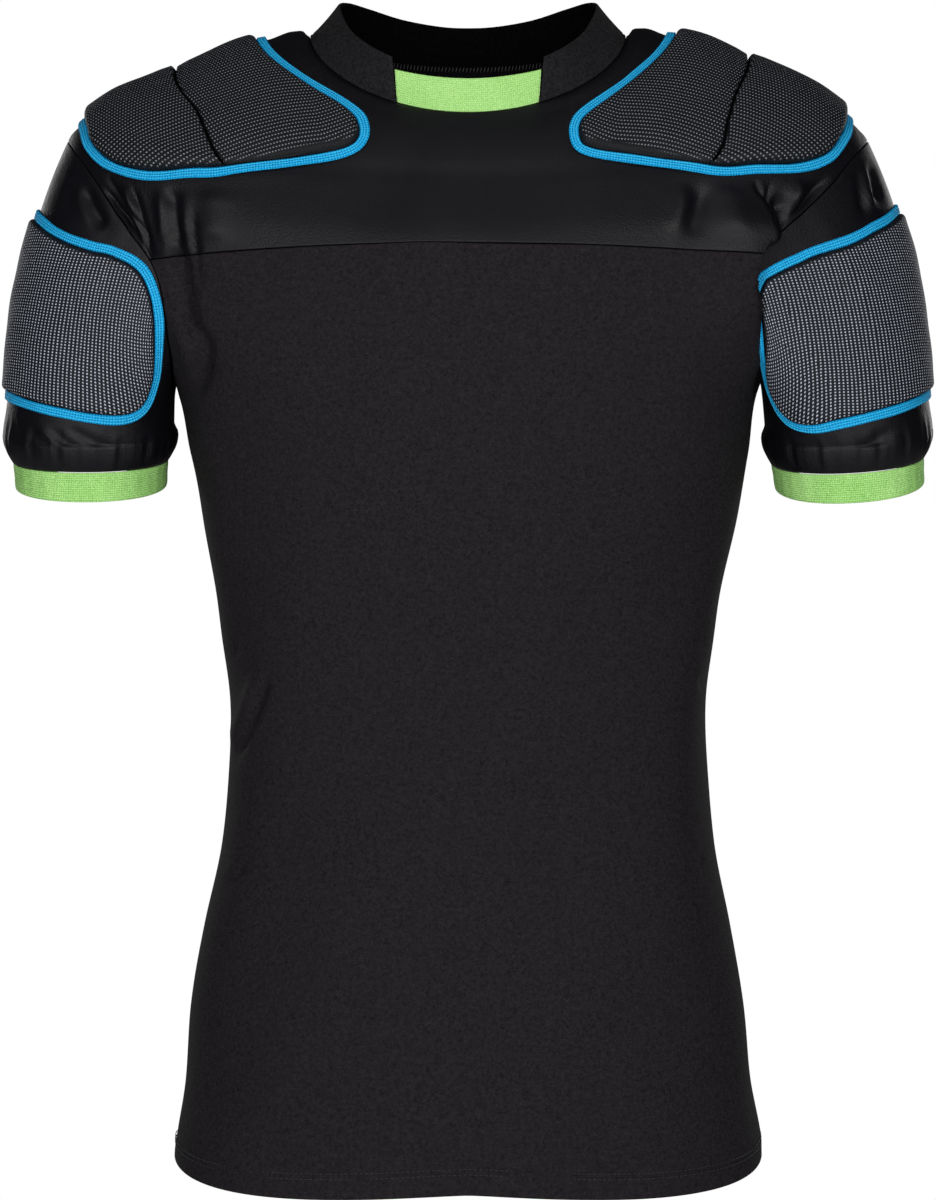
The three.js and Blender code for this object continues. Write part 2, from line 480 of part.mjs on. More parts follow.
// ------------------------------------------------------------------ sleeves and cuffs
const SLEEVE_COLUMNS = 24;
const sleeveSkins = {};
for (const side of ['L', 'R']) {
  const rounds = Array.from({ length: SLEEVE_COLUMNS }, (_, i) => (i * 360 * deg) / SLEEVE_COLUMNS);
  const shares = [0, 0.07, 0.2, 0.37, 0.57, 0.79, 1];
  const outer = shares.map((share) => rounds.map((round) => sleeve(side, round, share)));
  const inner = shares.map((share, i) => rounds.map((round, j) => add(outer[i][j], mul(sleeveNormal(side, round, share), -WALL.sleeve))));
  rounds.forEach((round, j) => {
    const m = armholeMitre(side, round);
    outer[0][j] = add(outer[0][j], mul(m.apart, -SEAM_GAP / 2 - 0.03));
    inner[0][j] = add(outer[0][j], mul(m.inward, WALL.sleeve * m.depth2));
  });
  sleeveSkins[side] = skin(outer.map((line) => [...line]), shares.map((share) => rounds.map((round) => sleeveNormal(side, round, share))));
  const radial = (round) => unit([outward(side) * Math.cos(round), -Math.sin(round), 0]);
  const belly = rounds.map((round) => add(mix(sleeveRing(side, 'blouse', round), sleeveRing(side, 'cuffTop', round), 0.62), mul(radial(round), 1.9)));
  const end = rounds.map((round) => add(sleeveRing(side, 'cuffTop', round), add(mul(radial(round), 0.5), [0, 0, SEAM_GAP])));
  outer.push(belly, end);
  inner.push(belly.map((p, j) => add(p, mul(radial(rounds[j]), -WALL.sleeve))), end.map((p, j) => add(p, mul(radial(rounds[j]), -WALL.sleeve - 0.5))));
  wall(`sleeve_${side}`, 'lycra', outer, inner, true);

  const cuffOuter = ['cuffTop', 'cuffEdge'].map((ring) => rounds.map((round) => sleeveRing(side, ring, round)));
  const cuffInner = cuffOuter.map((line) => line.map((p, j) => add(p, mul(radial(rounds[j]), -WALL.cuff))));
  wall(`cuff_${side}`, 'lime', cuffOuter, cuffInner, true);
}

// ------------------------------------------------------------------ pads and their bindings
// surface(u, v) and normal(u, v) are the cloth that carries the pad; the outline is a closed loop of
// [u, v] on it, and everything is made from its points, moved out.
const closedLoop = (surface, knots, count) => {
  const n = knots.length;
  const fine = [];
  for (let i = 0; i < n; i += 1) {
    const [p0, p1, p2, p3] = [knots[(i + n - 1) % n], knots[i], knots[(i + 1) % n], knots[(i + 2) % n]];
    for (let k = 0; k < 8; k += 1) {
      const u = k / 8;
      fine.push([0, 1].map((q) => 0.5 * (2 * p1[q] + (p2[q] - p0[q]) * u + (2 * p0[q] - 5 * p1[q] + 4 * p2[q] - p3[q]) * u * u + (3 * p1[q] - p0[q] - 3 * p2[q] + p3[q]) * u ** 3)));
    }
  }
  const spots = fine.map((q) => surface(...q));
  const lengths = [0];
  fine.forEach((q, i) => lengths.push(lengths[i] + len(sub(spots[(i + 1) % fine.length], spots[i]))));
  const total = lengths[fine.length];
  return Array.from({ length: count }, (_, k) => {
    const target = (total * k) / count;
    let i = 0;
    while (lengths[i + 1] < target) i += 1;
    return mix(fine[i], fine[(i + 1) % fine.length], (target - lengths[i]) / (lengths[i + 1] - lengths[i]));
  });
};
// Moves a surface parameter so that the point shifts by the vector d in the surface.
const shifted = (surface, q, scale, d) => {
  const e = [scale[0] * 1e-3, scale[1] * 1e-3];
  const du = mul(sub(surface(q[0] + e[0], q[1]), surface(q[0] - e[0], q[1])), 0.5 / e[0]);
  const dv = mul(sub(surface(q[0], q[1] + e[1]), surface(q[0], q[1] - e[1])), 0.5 / e[1]);
  const [a, b, c] = [dot(du, du), dot(du, dv), dot(dv, dv)];
  const det = a * c - b * b;
  return [q[0] + (c * dot(du, d) - b * dot(dv, d)) / det, q[1] + (a * dot(dv, d) - b * dot(du, d)) / det];
};
const padding = (carrier, knots, heart, stations) => {
  const { surface, normal, scale } = carrier;
  const path = closedLoop(surface, knots, stations);
  const spots = path.map((q) => surface(...q));
  const acrossAt = path.map((q, i) => {
    const along = unit(sub(spots[(i + 1) % stations], spots[(i + stations - 1) % stations]));
    return unit(cross(normal(...q), along));
  });
  const centre = surface(...heart);
  const turned = acrossAt.reduce((sum, a, i) => sum + dot(a, sub(centre, spots[i])), 0) > 0 ? 1 : -1;
  const side = (distance) => path.map((q, i) => shifted(surface, q, scale, mul(acrossAt[i], turned * distance)));
  const lifted = (line, height) => line.map((q) => add(surface(...q), mul(normal(...q), height)));
  return { path, side, lifted };
};
const bindingSolid = (name, loops) => {
  const inner = loops.side(BINDING_WIDTH / 2);
  const outer = loops.side(-BINDING_WIDTH / 2);
  const high = PAD_LIFT + BINDING_THICK;
  wall(name, 'binding', [loops.lifted(inner, high), loops.lifted(outer, high)], [loops.lifted(inner, PAD_LIFT), loops.lifted(outer, PAD_LIFT)], true);
};
// A foam pad between two edges that meet at both ends: near and far are as many points each, and
// rows of points run from one to the other, low at the edges and full in between.
const PAD_ROWS = table('inset rise', [[0, 0.24], [2.8, 0.78], [8.0, 1.0]]);
const padSolid = (name, carrier, near, far, thick) => {
  const { surface, normal } = carrier;
  const n = near.length;
  const lift = (q, height) => add(surface(...q), mul(normal(...q), height));
  const points = [];
  const rows = [];
  for (let i = 1; i < n - 1; i += 1) {
    const width = len(sub(surface(...near[i]), surface(...far[i])));
    const cut = PAD_ROWS.map((r, k) => Math.min(r.inset / width, [0, 0.16, 0.36][k]));
    const full = Math.min(1, 0.45 + width / 36);
    const line = PAD_ROWS.map((r, k) => [cut[k], r.rise]);
    line.push([0.5, 1], ...[...line].reverse().map(([share, rise]) => [1 - share, rise]));
    rows.push(line.map(([share, rise]) => points.push(lift(mix(near[i], far[i], share), thick * rise * (rise > 0.5 ? full : 1))) - 1));
    rows[rows.length - 1].under = [0, 0.5, 1].map((share) => points.push(lift(mix(near[i], far[i], share), -4)) - 1);
  }
  const ends = [near[0], near[n - 1]].map((q) => [points.push(lift(q, thick * 0.24)) - 1, points.push(lift(q, -4)) - 1]);
  const faces = [];
  const strip = (a, b, flip) => {
    for (let k = 0; k < a.length - 1; k += 1) {
      const short = len(sub(points[a[k]], points[b[k + 1]])) <= len(sub(points[b[k]], points[a[k + 1]]));
      const two = short ? [[a[k], b[k], b[k + 1]], [a[k], b[k + 1], a[k + 1]]] : [[a[k], b[k], a[k + 1]], [b[k], b[k + 1], a[k + 1]]];
      two.forEach(([p, q, r]) => faces.push(flip ? [p, r, q] : [p, q, r]));
    }
  };
  const fan = (tip, a, flip) => {
    for (let k = 0; k < a.length - 1; k += 1) faces.push(flip ? [tip, a[k + 1], a[k]] : [tip, a[k], a[k + 1]]);
  };
  const last = rows.length - 1;
  const width = rows[0].length - 1;
  for (let i = 0; i < last; i += 1) {
    strip(rows[i], rows[i + 1], false);
    strip(rows[i].under, rows[i + 1].under, true);
    strip([rows[i].under[0], rows[i][0]], [rows[i + 1].under[0], rows[i + 1][0]], false);
    strip([rows[i].under[2], rows[i][width]], [rows[i + 1].under[2], rows[i + 1][width]], true);
  }
  for (const [row, end, flip] of [[rows[0], ends[0], false], [rows[last], ends[1], true]]) {
    fan(end[0], row, flip);
    fan(end[1], row.under, !flip);
    strip([end[1], end[0]], [row.under[0], row[0]], flip);
    strip([end[1], end[0]], [row.under[2], row[width]], !flip);
  }
  // the underside is the panel's own surface, SEAM_GAP above it
  const cut = solidOf(points, faces).subtract(carrier.skin);
  const largest = cut.decompose().sort((p, q) => q.volume() - p.volume())[0].simplify(0.12);
  const { vertProperties, triVerts, numProp } = largest.getMesh();
  const cutPoints = Array.from({ length: vertProperties.length / numProp }, (_, i) => [0, 1, 2].map((k) => vertProperties[i * numProp + k]));
  const cutFaces = Array.from({ length: triVerts.length / 3 }, (_, i) => [0, 1, 2].map((k) => triVerts[i * 3 + k]));
  return meshOf(name, cutPoints, cutFaces, 'mesh');
};
// Evenly spaced points along an open line of surface parameters.
const spaced = (surface, line, count) => {
  const spots = line.map((q) => surface(...q));
  const lengths = spots.reduce((acc, p, i) => (i ? [...acc, acc[i - 1] + len(sub(p, spots[i - 1]))] : [0]), []);
  return Array.from({ length: count }, (_, k) => {
    const target = (lengths[lengths.length - 1] * k) / (count - 1);
    let i = 0;
    while (i < line.length - 2 && lengths[i + 1] < target) i += 1;
    return mix(line[i], line[i + 1], (target - lengths[i]) / (lengths[i + 1] - lengths[i]));
  });
};

for (const side of ['L', 'R']) {
  const onTorso = {
    surface: (girth, level) => form(turn(side, girth), level),
    normal: (girth, level) => formNormal(turn(side, girth), level),
    scale: [1, 100],
    skin: yokeSkin,
  };
  const knots = SHOULDER_OUTLINE.map((r) => [r[`girth${side}`] * deg, r[`level${side}`]]);
  const heart = [20 * deg, 672];
  const loops = padding(onTorso, knots, heart, 40);
  bindingSolid(`shoulder_binding_${side}`, loops);
  const edge = loops.side(BINDING_WIDTH / 2 + BINDING_GAP);
  const slit = SHOULDER_SLIT.map((r) => [r[`girth${side}`] * deg, r[`level${side}`]]);
  const nearest = (q) => {
    const p = onTorso.surface(...q);
    const far = edge.map((e) => len(sub(onTorso.surface(...e), p)));
    return far.indexOf(Math.min(...far));
  };
  const frontFoot = nearest(slit[0]);
  const backFoot = nearest(slit[slit.length - 1]);
  const around = (from, to) => Array.from({ length: ((to - from + edge.length) % edge.length) + 1 }, (_, i) => edge[(from + i) % edge.length]);
  const slitRead = smoothRead(slit.map(([girth, level], i) => ({ step: i, girth, level })), ['girth', 'level']);
  for (const part of ['inner', 'outer']) {
    const rim = part === 'outer' ? around(frontFoot, backFoot) : around(backFoot, frontFoot).reverse();
    const away = rim[Math.floor(rim.length / 2)];
    const line = Array.from({ length: 49 }, (_, i) => slitRead((i * (slit.length - 1)) / 48));
    line[0] = rim[0];
    line[48] = rim[rim.length - 1];
    const own = spaced(onTorso.surface, line, rim.length).map((q, i, all) => {
      if (i === 0 || i === all.length - 1) return q;
      const along = sub(onTorso.surface(...all[i + 1]), onTorso.surface(...all[i - 1]));
      const across = unit(cross(onTorso.normal(...q), along));
      const own1 = dot(across, sub(onTorso.surface(...away), onTorso.surface(...q))) > 0 ? 1 : -1;
      return shifted(onTorso.surface, q, onTorso.scale, mul(across, own1 * GROOVE_HALF));
    });
    // the two segments share the outline's points at the feet, so each keeps clear of the other there
    const clear = (list) => [mix(list[0], list[1], 0.18), ...list.slice(1, -1), mix(list[list.length - 1], list[list.length - 2], 0.18)];
    const rimOwn = clear(rim);
    own[0] = rimOwn[0];
    own[own.length - 1] = rimOwn[rimOwn.length - 1];
    padSolid(`shoulder_pad_${part}_${side}`, onTorso, own, rimOwn, SHOULDER_PAD_THICK[part]);
  }

  const onSleeve = {
    surface: (round, share) => sleeve(side, round, share),
    normal: (round, share) => sleeveNormal(side, round, share),
    scale: [1, 1],
    skin: sleeveSkins[side],
  };
  const sleeveKnots = BICEP_OUTLINE.map((r) => [r[`round${side}`] * deg, r[`length${side}`]]);
  const sleeveHeart = [BICEP_HEART[side][0] * deg, BICEP_HEART[side][1]];
  const sleeveLoops = padding(onSleeve, sleeveKnots, sleeveHeart, 40);
  bindingSolid(`bicep_binding_${side}`, sleeveLoops);
  const pad = sleeveLoops.side(BINDING_WIDTH / 2 + BINDING_GAP);
  const frontMost = pad.reduce((best, q, i) => (q[0] > pad[best][0] ? i : best), 0);
  const half = pad.length / 2;
  const arc = (direction) => Array.from({ length: half + 1 }, (_, i) => pad[(frontMost + direction * i + pad.length) % pad.length]);
  padSolid(`bicep_pad_${side}`, onSleeve, arc(1), arc(-1), BICEP_PAD_THICK);
}

export default group;
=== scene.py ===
import math

import bpy
import numpy as np
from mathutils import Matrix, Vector


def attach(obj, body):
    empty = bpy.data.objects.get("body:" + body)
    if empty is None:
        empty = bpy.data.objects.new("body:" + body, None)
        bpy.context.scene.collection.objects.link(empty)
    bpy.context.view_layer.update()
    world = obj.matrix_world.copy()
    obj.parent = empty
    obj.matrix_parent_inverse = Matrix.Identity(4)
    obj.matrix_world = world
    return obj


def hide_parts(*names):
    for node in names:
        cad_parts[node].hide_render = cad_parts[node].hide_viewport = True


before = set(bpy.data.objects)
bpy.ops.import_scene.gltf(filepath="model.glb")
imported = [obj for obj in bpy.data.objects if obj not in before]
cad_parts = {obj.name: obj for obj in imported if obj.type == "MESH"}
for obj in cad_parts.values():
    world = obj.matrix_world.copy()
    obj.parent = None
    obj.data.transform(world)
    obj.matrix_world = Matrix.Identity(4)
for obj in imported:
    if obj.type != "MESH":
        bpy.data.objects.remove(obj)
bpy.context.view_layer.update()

# Protective rugby top, short sleeved, hollow, filled out as worn with arms down.
# All tables and shapes below are in millimetres; the meshes are made in metres.
RAD = math.pi / 180
MM = 0.001
FINE = 0.9

# ------------------------------------------------------------------ driving dimensions
SEAM_GAP = 0.3
NECK_LEVEL = 759.0
YOKE_LEVEL = 541.25
ARMHOLE_HALF = 64.75
PAD_LIFT = 0.85
SHOULDER_PAD_THICK = {"inner": 5.6, "outer": 7.8}
BICEP_PAD_THICK = 4.6
BINDING_WIDTH = 5.8
BINDING_THICK = 1.7
BINDING_GAP = 0.45
GROOVE_HALF = 0.4
COLLAR_END_GIRTH = 63.4
COLLAR_END = COLLAR_END_GIRTH * RAD
TAB_TOP = {"x": 45.1, "y": -70.0, "z": -34.8, "end_back": 4.1, "end_rise": 6.1}
RIGHT_SHOULDER_LIFT = 4.5
HEM_DROP = 7.2
WALL = {"body": 1.3, "yoke": 1.2, "sleeve": 1.2, "collar": 2.1, "tab": 1.4, "cuff": 1.9}

# level, halfWidth, sideZ, frontDepth, frontZ, backDepth, backZ, round, dip
TORSO = [
    (0, 181.3, -690.5, 113, -703.0, 109, -703.0, 2.35, 1.2),
    (14, 180.9, -680.0, 113, -688.0, 109, -688.0, 2.35, 1.4),
    (44, 176.0, -648.0, 112, -650.0, 108, -650.0, 2.35, 2.0),
    (94, 170.4, -597.0, 110, -597.0, 106, -597.0, 2.35, 2.0),
    (143, 162.3, -548.0, 105, -548.0, 101, -548.0, 2.35, 2.0),
    (193, 151.8, -498.0, 100, -498.0, 93, -498.0, 2.35, 2.0),
    (230, 147.9, -461.0, 98, -461.0, 87, -461.0, 2.35, 2.0),
    (280, 147.5, -411.0, 98, -411.0, 84, -411.0, 2.35, 2.0),
    (316, 151.5, -375.0, 100, -375.0, 86, -375.0, 2.35, 2.0),
    (341, 154.5, -350.0, 103, -350.0, 89, -350.0, 2.35, 2.0),
    (391, 165.4, -300.0, 111, -300.0, 98, -300.0, 2.35, 2.0),
    (432, 172.6, -259.0, 116, -259.0, 105, -259.0, 2.35, 2.0),
    (476.5, 181.8, -214.5, 118, -214.0, 110, -214.0, 2.4, 2.0),
    (508, 204.0, -182.0, 115, -176.0, 112, -178.0, 2.4, 2.0),
    (541.25, 226.0, -148.0, 108, -137.0, 112, -137.0, 2.35, 2.0),
    (560, 240.0, -120.0, 105, -127.0, 110, -120.0, 2.3, 2.0),
    (580, 249.0, -98.0, 101, -117.0, 107, -102.0, 2.25, 2.0),
    (594, 251.0, -80.0, 98, -110.0, 104, -90.0, 2.2, 2.0),
    (606, 247.5, -65.5, 95, -103.0, 101, -79.0, 2.2, 1.9),
    (621, 238.5, -55.0, 92, -96.0, 98, -67.0, 2.15, 1.8),
    (643, 219.0, -42.0, 89, -86.0, 93, -53.0, 2.1, 1.7),
    (681, 181.0, -26.0, 84, -74.5, 86, -36.0, 2.1, 1.55),
    (731, 130.0, -3.5, 77, -63.0, 77, -19.0, 2.05, 1.35),
    (759, 98.0, 0.0, 72, -55.5, 70, -10.0, 2.0, 1.2),
]
# angle round the armhole, girth it reaches on the left and on the right
ARMHOLE = np.array([
    (0, 40.0, 48.0), (22.5, 44.0, 48.5), (45, 39.5, 42.0), (67.5, 35.2, 40.3), (78, 34.8, 41.3), (90, 35.8, 45.0),
    (101, 35.9, 45.3), (112.5, 35.8, 44.4), (135, 36.6, 43.0), (157.5, 41.0, 42.0), (180, 39.5, 39.0), (202.5, 40.5, 36.5), (225, 37.0, 34.0),
    (270, 33.0, 34.0), (315, 33.0, 34.0), (360, 40.0, 48.0),
])
# x, y, z, halfWidth, halfDepth, fall, rise
SLEEVE_END = {
    "L": {"blouse": (234.6, 7, -245.5, 51.8, 53.5, 9.5, 0.0), "cuffTop": (234.5, 8, -262.8, 47.8, 50.0, 9.3, 0.0),
          "cuffEdge": (234.3, 10, -278.6, 46.8, 48.8, 11.4, 0.0)},
    "R": {"blouse": (235.6, 7, -245.0, 50.6, 53.5, 10.5, 2.5), "cuffTop": (235.9, 8, -262.0, 47.2, 50.0, 10.5, 3.0),
          "cuffEdge": (237.4, 10, -277.8, 46.2, 48.8, 12.6, 3.0)},
}
CUFF_ROUND = 2.15
# girth, x, y, z of the upper edge of the collar, from the middle of the back to the front edge
COLLAR_TOP = [
    (-90, 0, 58.0, 13.2), (-84, 8.6, 57.9, 13.3), (-62, 38.0, 52.5, 16.6), (-40, 62.0, 40.0, 22.3), (-20, 76.0, 25.0, 24.4),
    (-6, 80.5, 8.5, 21.6), (8, 79.0, -9.5, 14.0), (24, 72.5, -32.5, 0.0), (44, 60.5, -53.5, -12.5), (63.4, 46.3, -66.5, -21.5),
]
# girth and level of the binding's middle line, left and right
SHOULDER_OUTLINE = [
    (2.0, 733.0, -2.0, 734.5), (21.0, 734.5, 19.0, 736.5), (37.0, 735.5, 35.0, 737.0), (52.5, 732.0, 50.5, 731.0),
    (62.5, 719.0, 61.5, 718.0), (68.2, 696.0, 67.6, 696.0), (71.3, 666.0, 71.2, 663.0), (70.6, 643.0, 70.6, 643.5),
    (64.3, 624.0, 64.2, 626.3), (55.4, 604.5, 55.4, 603.6), (49.7, 599.1, 47.5, 599.1), (42.0, 593.4, 39.5, 596.0),
    (33.0, 596.0, 31.5, 599.6), (25.0, 604.0, 23.5, 610.0), (15.0, 616.5, 12.0, 622.0), (0.0, 623.5, -3.0, 627.5),
    (-16.0, 619.0, -17.0, 622.0), (-29.0, 611.5, -29.0, 613.0), (-39.0, 613.0, -39.0, 614.5), (-46.5, 630.0, -46.5, 631.0),
    (-50.0, 657.0, -50.0, 658.0), (-49.0, 688.0, -49.0, 689.0), (-43.0, 714.0, -43.0, 715.0), (-31.0, 728.0, -32.0, 729.0),
    (-15.0, 733.0, -17.0, 734.0),
]
SHOULDER_SLIT = [
    (55.4, 606.0, 55.4, 606.0), (46.5, 637.4, 43.2, 650.0), (33.5, 664.0, 28.5, 677.0), (7.2, 681.7, 4.0, 690.0),
    (-17.0, 681.0, -18.0, 686.0), (-31.0, 671.0, -31.0, 673.0), (-41.0, 655.0, -41.0, 656.0), (-46.5, 637.0, -46.5, 638.0),
]
# angle round the sleeve and share of its length, left and right
BICEP_OUTLINE = [
    (2, 0.252, 2, 0.238), (19, 0.250, 14, 0.236), (34, 0.238, 28, 0.230), (45, 0.217, 43, 0.205), (55, 0.187, 52, 0.188),
    (66, 0.150, 60, 0.168), (76, 0.102, 68, 0.145), (85, 0.062, 75, 0.126), (93, 0.047, 82, 0.112), (101, 0.046, 90, 0.105),
    (109, 0.049, 98, 0.105), (116, 0.064, 107, 0.107), (122, 0.106, 115, 0.112), (128, 0.190, 123, 0.125), (132, 0.320, 130, 0.155),
    (132, 0.480, 137, 0.220), (130, 0.620, 141, 0.330), (126, 0.720, 140, 0.500), (119, 0.795, 136, 0.680), (108, 0.838, 128, 0.810),
    (91, 0.856, 114, 0.875), (72, 0.860, 93, 0.881), (49, 0.858, 70, 0.875), (25, 0.860, 40, 0.870), (2, 0.866, 10, 0.872),
    (-24, 0.872, -18, 0.872), (-48, 0.868, -48, 0.868), (-68, 0.852, -68, 0.852), (-84, 0.800, -84, 0.800), (-94, 0.690, -94, 0.690),
    (-99, 0.540, -99, 0.540), (-98, 0.400, -98, 0.400), (-91, 0.285, -91, 0.285), (-78, 0.225, -78, 0.225), (-60, 0.222, -60, 0.222),
    (-40, 0.238, -40, 0.232), (-19, 0.248, -19, 0.237),
]
BICEP_HEART = {"L": (22, 0.54), "R": (26, 0.54)}

# Creases seen from the front: pieces, kind (s soft, v sharp), half width, height (negative is a trough)
# and the points of its line, x and z as seen from 2.6 m in front. Only cloth that faces the front takes them.
FRONT_CREASES = [
    ("yoke", "v", 1.6, -3.0, [(-223.2, -80.0), (-220.7, -91.8), (-202.1, -119.7), (-198.4, -132.7)]),
    ("yoke", "v", 1.5, -2.4, [(-208.9, -92.4), (-204.6, -104.8), (-200.3, -119.7), (-197.2, -136.4)]),
    ("yoke", "s", 4.2, -7.0, [(-228.2, -93.0), (-215.8, -112.9), (-204.0, -130.2)]),
    ("yoke", "s", 3.2, 3.0, [(-214.5, -89.3), (-207.7, -110.4), (-199.6, -126.5)]),
    ("yoke body", "s", 4.0, -4.6, [(-183.5, -91.8), (-182.3, -111.0), (-181.0, -133.9)]),
    ("yoke", "s", 3.4, 2.4, [(-191.0, -93.0), (-189.7, -111.0), (-189.1, -130.2)]),
    ("yoke", "s", 3.0, 1.8, [(-174.8, -95.5), (-174.8, -111.0), (-174.2, -129.0)]),
    ("yoke body", "v", 1.7, -4.0, [(-171.7, -104.8), (-170.5, -119.1), (-169.3, -132.7), (-168.0, -161.2)]),
    ("yoke", "s", 9.0, 2.4, [(-156.9, -93.0), (-158.1, -111.0), (-160.0, -130.2)]),
    ("yoke", "s", 4.6, 2.6, [(133.3, -89.9), (132.1, -104.8), (127.1, -122.8)]),
    ("yoke", "s", 4.6, -3.4, [(147.6, -89.9), (142.0, -109.1), (137.6, -126.5)]),
    ("yoke", "s", 8.0, 2.4, [(161.2, -89.9), (160.6, -109.1), (158.7, -126.5)]),
    ("yoke body", "v", 1.5, -2.8, [(189.1, -89.9), (184.1, -103.6), (182.9, -130.2)]),
    ("yoke", "v", 1.4, -2.0, [(177.9, -89.3), (180.4, -98.0), (183.5, -104.2)]),
    ("yoke", "s", 5.2, -9.5, [(192.8, -97.0), (191.5, -114.1), (189.0, -134.0)]),
    ("yoke", "s", 3.2, 3.4, [(205.8, -88.7), (205.2, -98.0), (203.4, -106.0)]),
    ("yoke", "s", 4.5, -6.5, [(223.2, -84.3), (210.2, -105.4), (198.4, -125.3)]),
    ("body yoke", "s", 5.2, -13.0, [(-180.0, -128.0), (-178.5, -150.0), (-175.5, -170.0), (-172.0, -190.0)]),
    ("body", "v", 2.2, -5.4, [(-174.2, -165.6), (-167.4, -188.5), (-165.5, -199.7)]),
    ("body", "s", 4.2, -8.0, [(-166.0, -180.0), (-162.5, -195.0), (-166.0, -212.0), (-172.0, -224.0)]),
    ("body", "s", 4.5, 3.4, [(-181.0, -174.9), (-174.8, -194.7), (-173.0, -210.8)]),
    ("body", "v", 2.4, -5.6, [(-122.1, -395.6), (-131.4, -419.1), (-143.2, -448.9)]),
    ("body", "s", 5.0, 2.6, [(-127.7, -391.9), (-137.6, -415.4), (-146.9, -441.5)]),
    ("body", "v", 2.0, -2.8, [(-137.0, -510.9), (-142.6, -519.6), (-150.0, -528.3)]),
    ("body", "v", 1.8, -1.4, [(-143.2, -370.8), (-144.5, -378.2), (-145.1, -385.7)]),
    ("body", "v", 1.8, -1.4, [(145.7, -507.2), (145.1, -512.8), (144.5, -518.3)]),
    ("body", "s", 4.0, -1.6, [(151.3, -396.8), (146.3, -401.2), (141.4, -403.0)]),
    ("body", "s", 4.0, -1.3, [(147.6, -370.8), (145.1, -375.1), (141.4, -379.5)]),
    ("body", "s", 9.0, -0.9, [(-104.2, -641.1), (-90.5, -659.7), (-71.9, -670.9)]),
    ("sleeve_L", "s", 4.0, -4.6, [(-238.1, -93.0), (-231.3, -109.8), (-223.2, -119.1)]),
    ("sleeve_L", "s", 3.5, -1.0, [(-244.9, -91.8), (-246.8, -99.8), (-248.0, -107.9)]),
    ("sleeve_L", "s", 3.0, 1.2, [(-243.0, -93.0), (-238.1, -107.9), (-231.9, -117.8)]),
    ("sleeve_L", "s", 3.0, -1.6, [(-279.6, -235.0), (-262.3, -251.7), (-254.8, -260.4)]),
    ("sleeve_L", "s", 3.2, -2.2, [(-261.6, -242.4), (-248.0, -253.0), (-233.1, -262.3)]),
    ("sleeve_L", "s", 3.2, -1.8, [(-251.7, -241.2), (-231.3, -251.7), (-209.6, -260.4)]),
    ("sleeve_L", "s", 3.0, -1.3, [(-282.7, -235.0), (-279.0, -246.8), (-275.3, -257.9)]),
    ("sleeve_L", "s", 3.4, 1.2, [(-269.1, -240.6), (-253.0, -254.2), (-244.3, -262.9)]),
    ("sleeve_R", "s", 2.8, -3.0, [(241.2, -78.8), (243.0, -91.8), (246.8, -114.7)]),
    ("sleeve_R", "s", 2.8, -2.8, [(249.2, -78.8), (253.0, -95.5), (256.1, -104.8)]),
    ("sleeve_R", "s", 3.0, 2.2, [(245.5, -80.0), (248.0, -95.5), (251.1, -110.4)]),
    ("sleeve_R", "s", 2.8, 2.6, [(220.7, -95.5), (228.2, -89.3), (235.6, -83.7)]),
    ("sleeve_R", "s", 3.4, -2.0, [(270.3, -240.6), (244.3, -256.1), (218.2, -269.7)]),
    ("sleeve_R", "s", 3.2, -1.8, [(262.3, -241.8), (242.4, -258.6), (222.0, -272.2)]),
    ("sleeve_R", "s", 3.2, 1.2, [(266.6, -241.8), (243.7, -257.9), (220.1, -271.0)]),
]
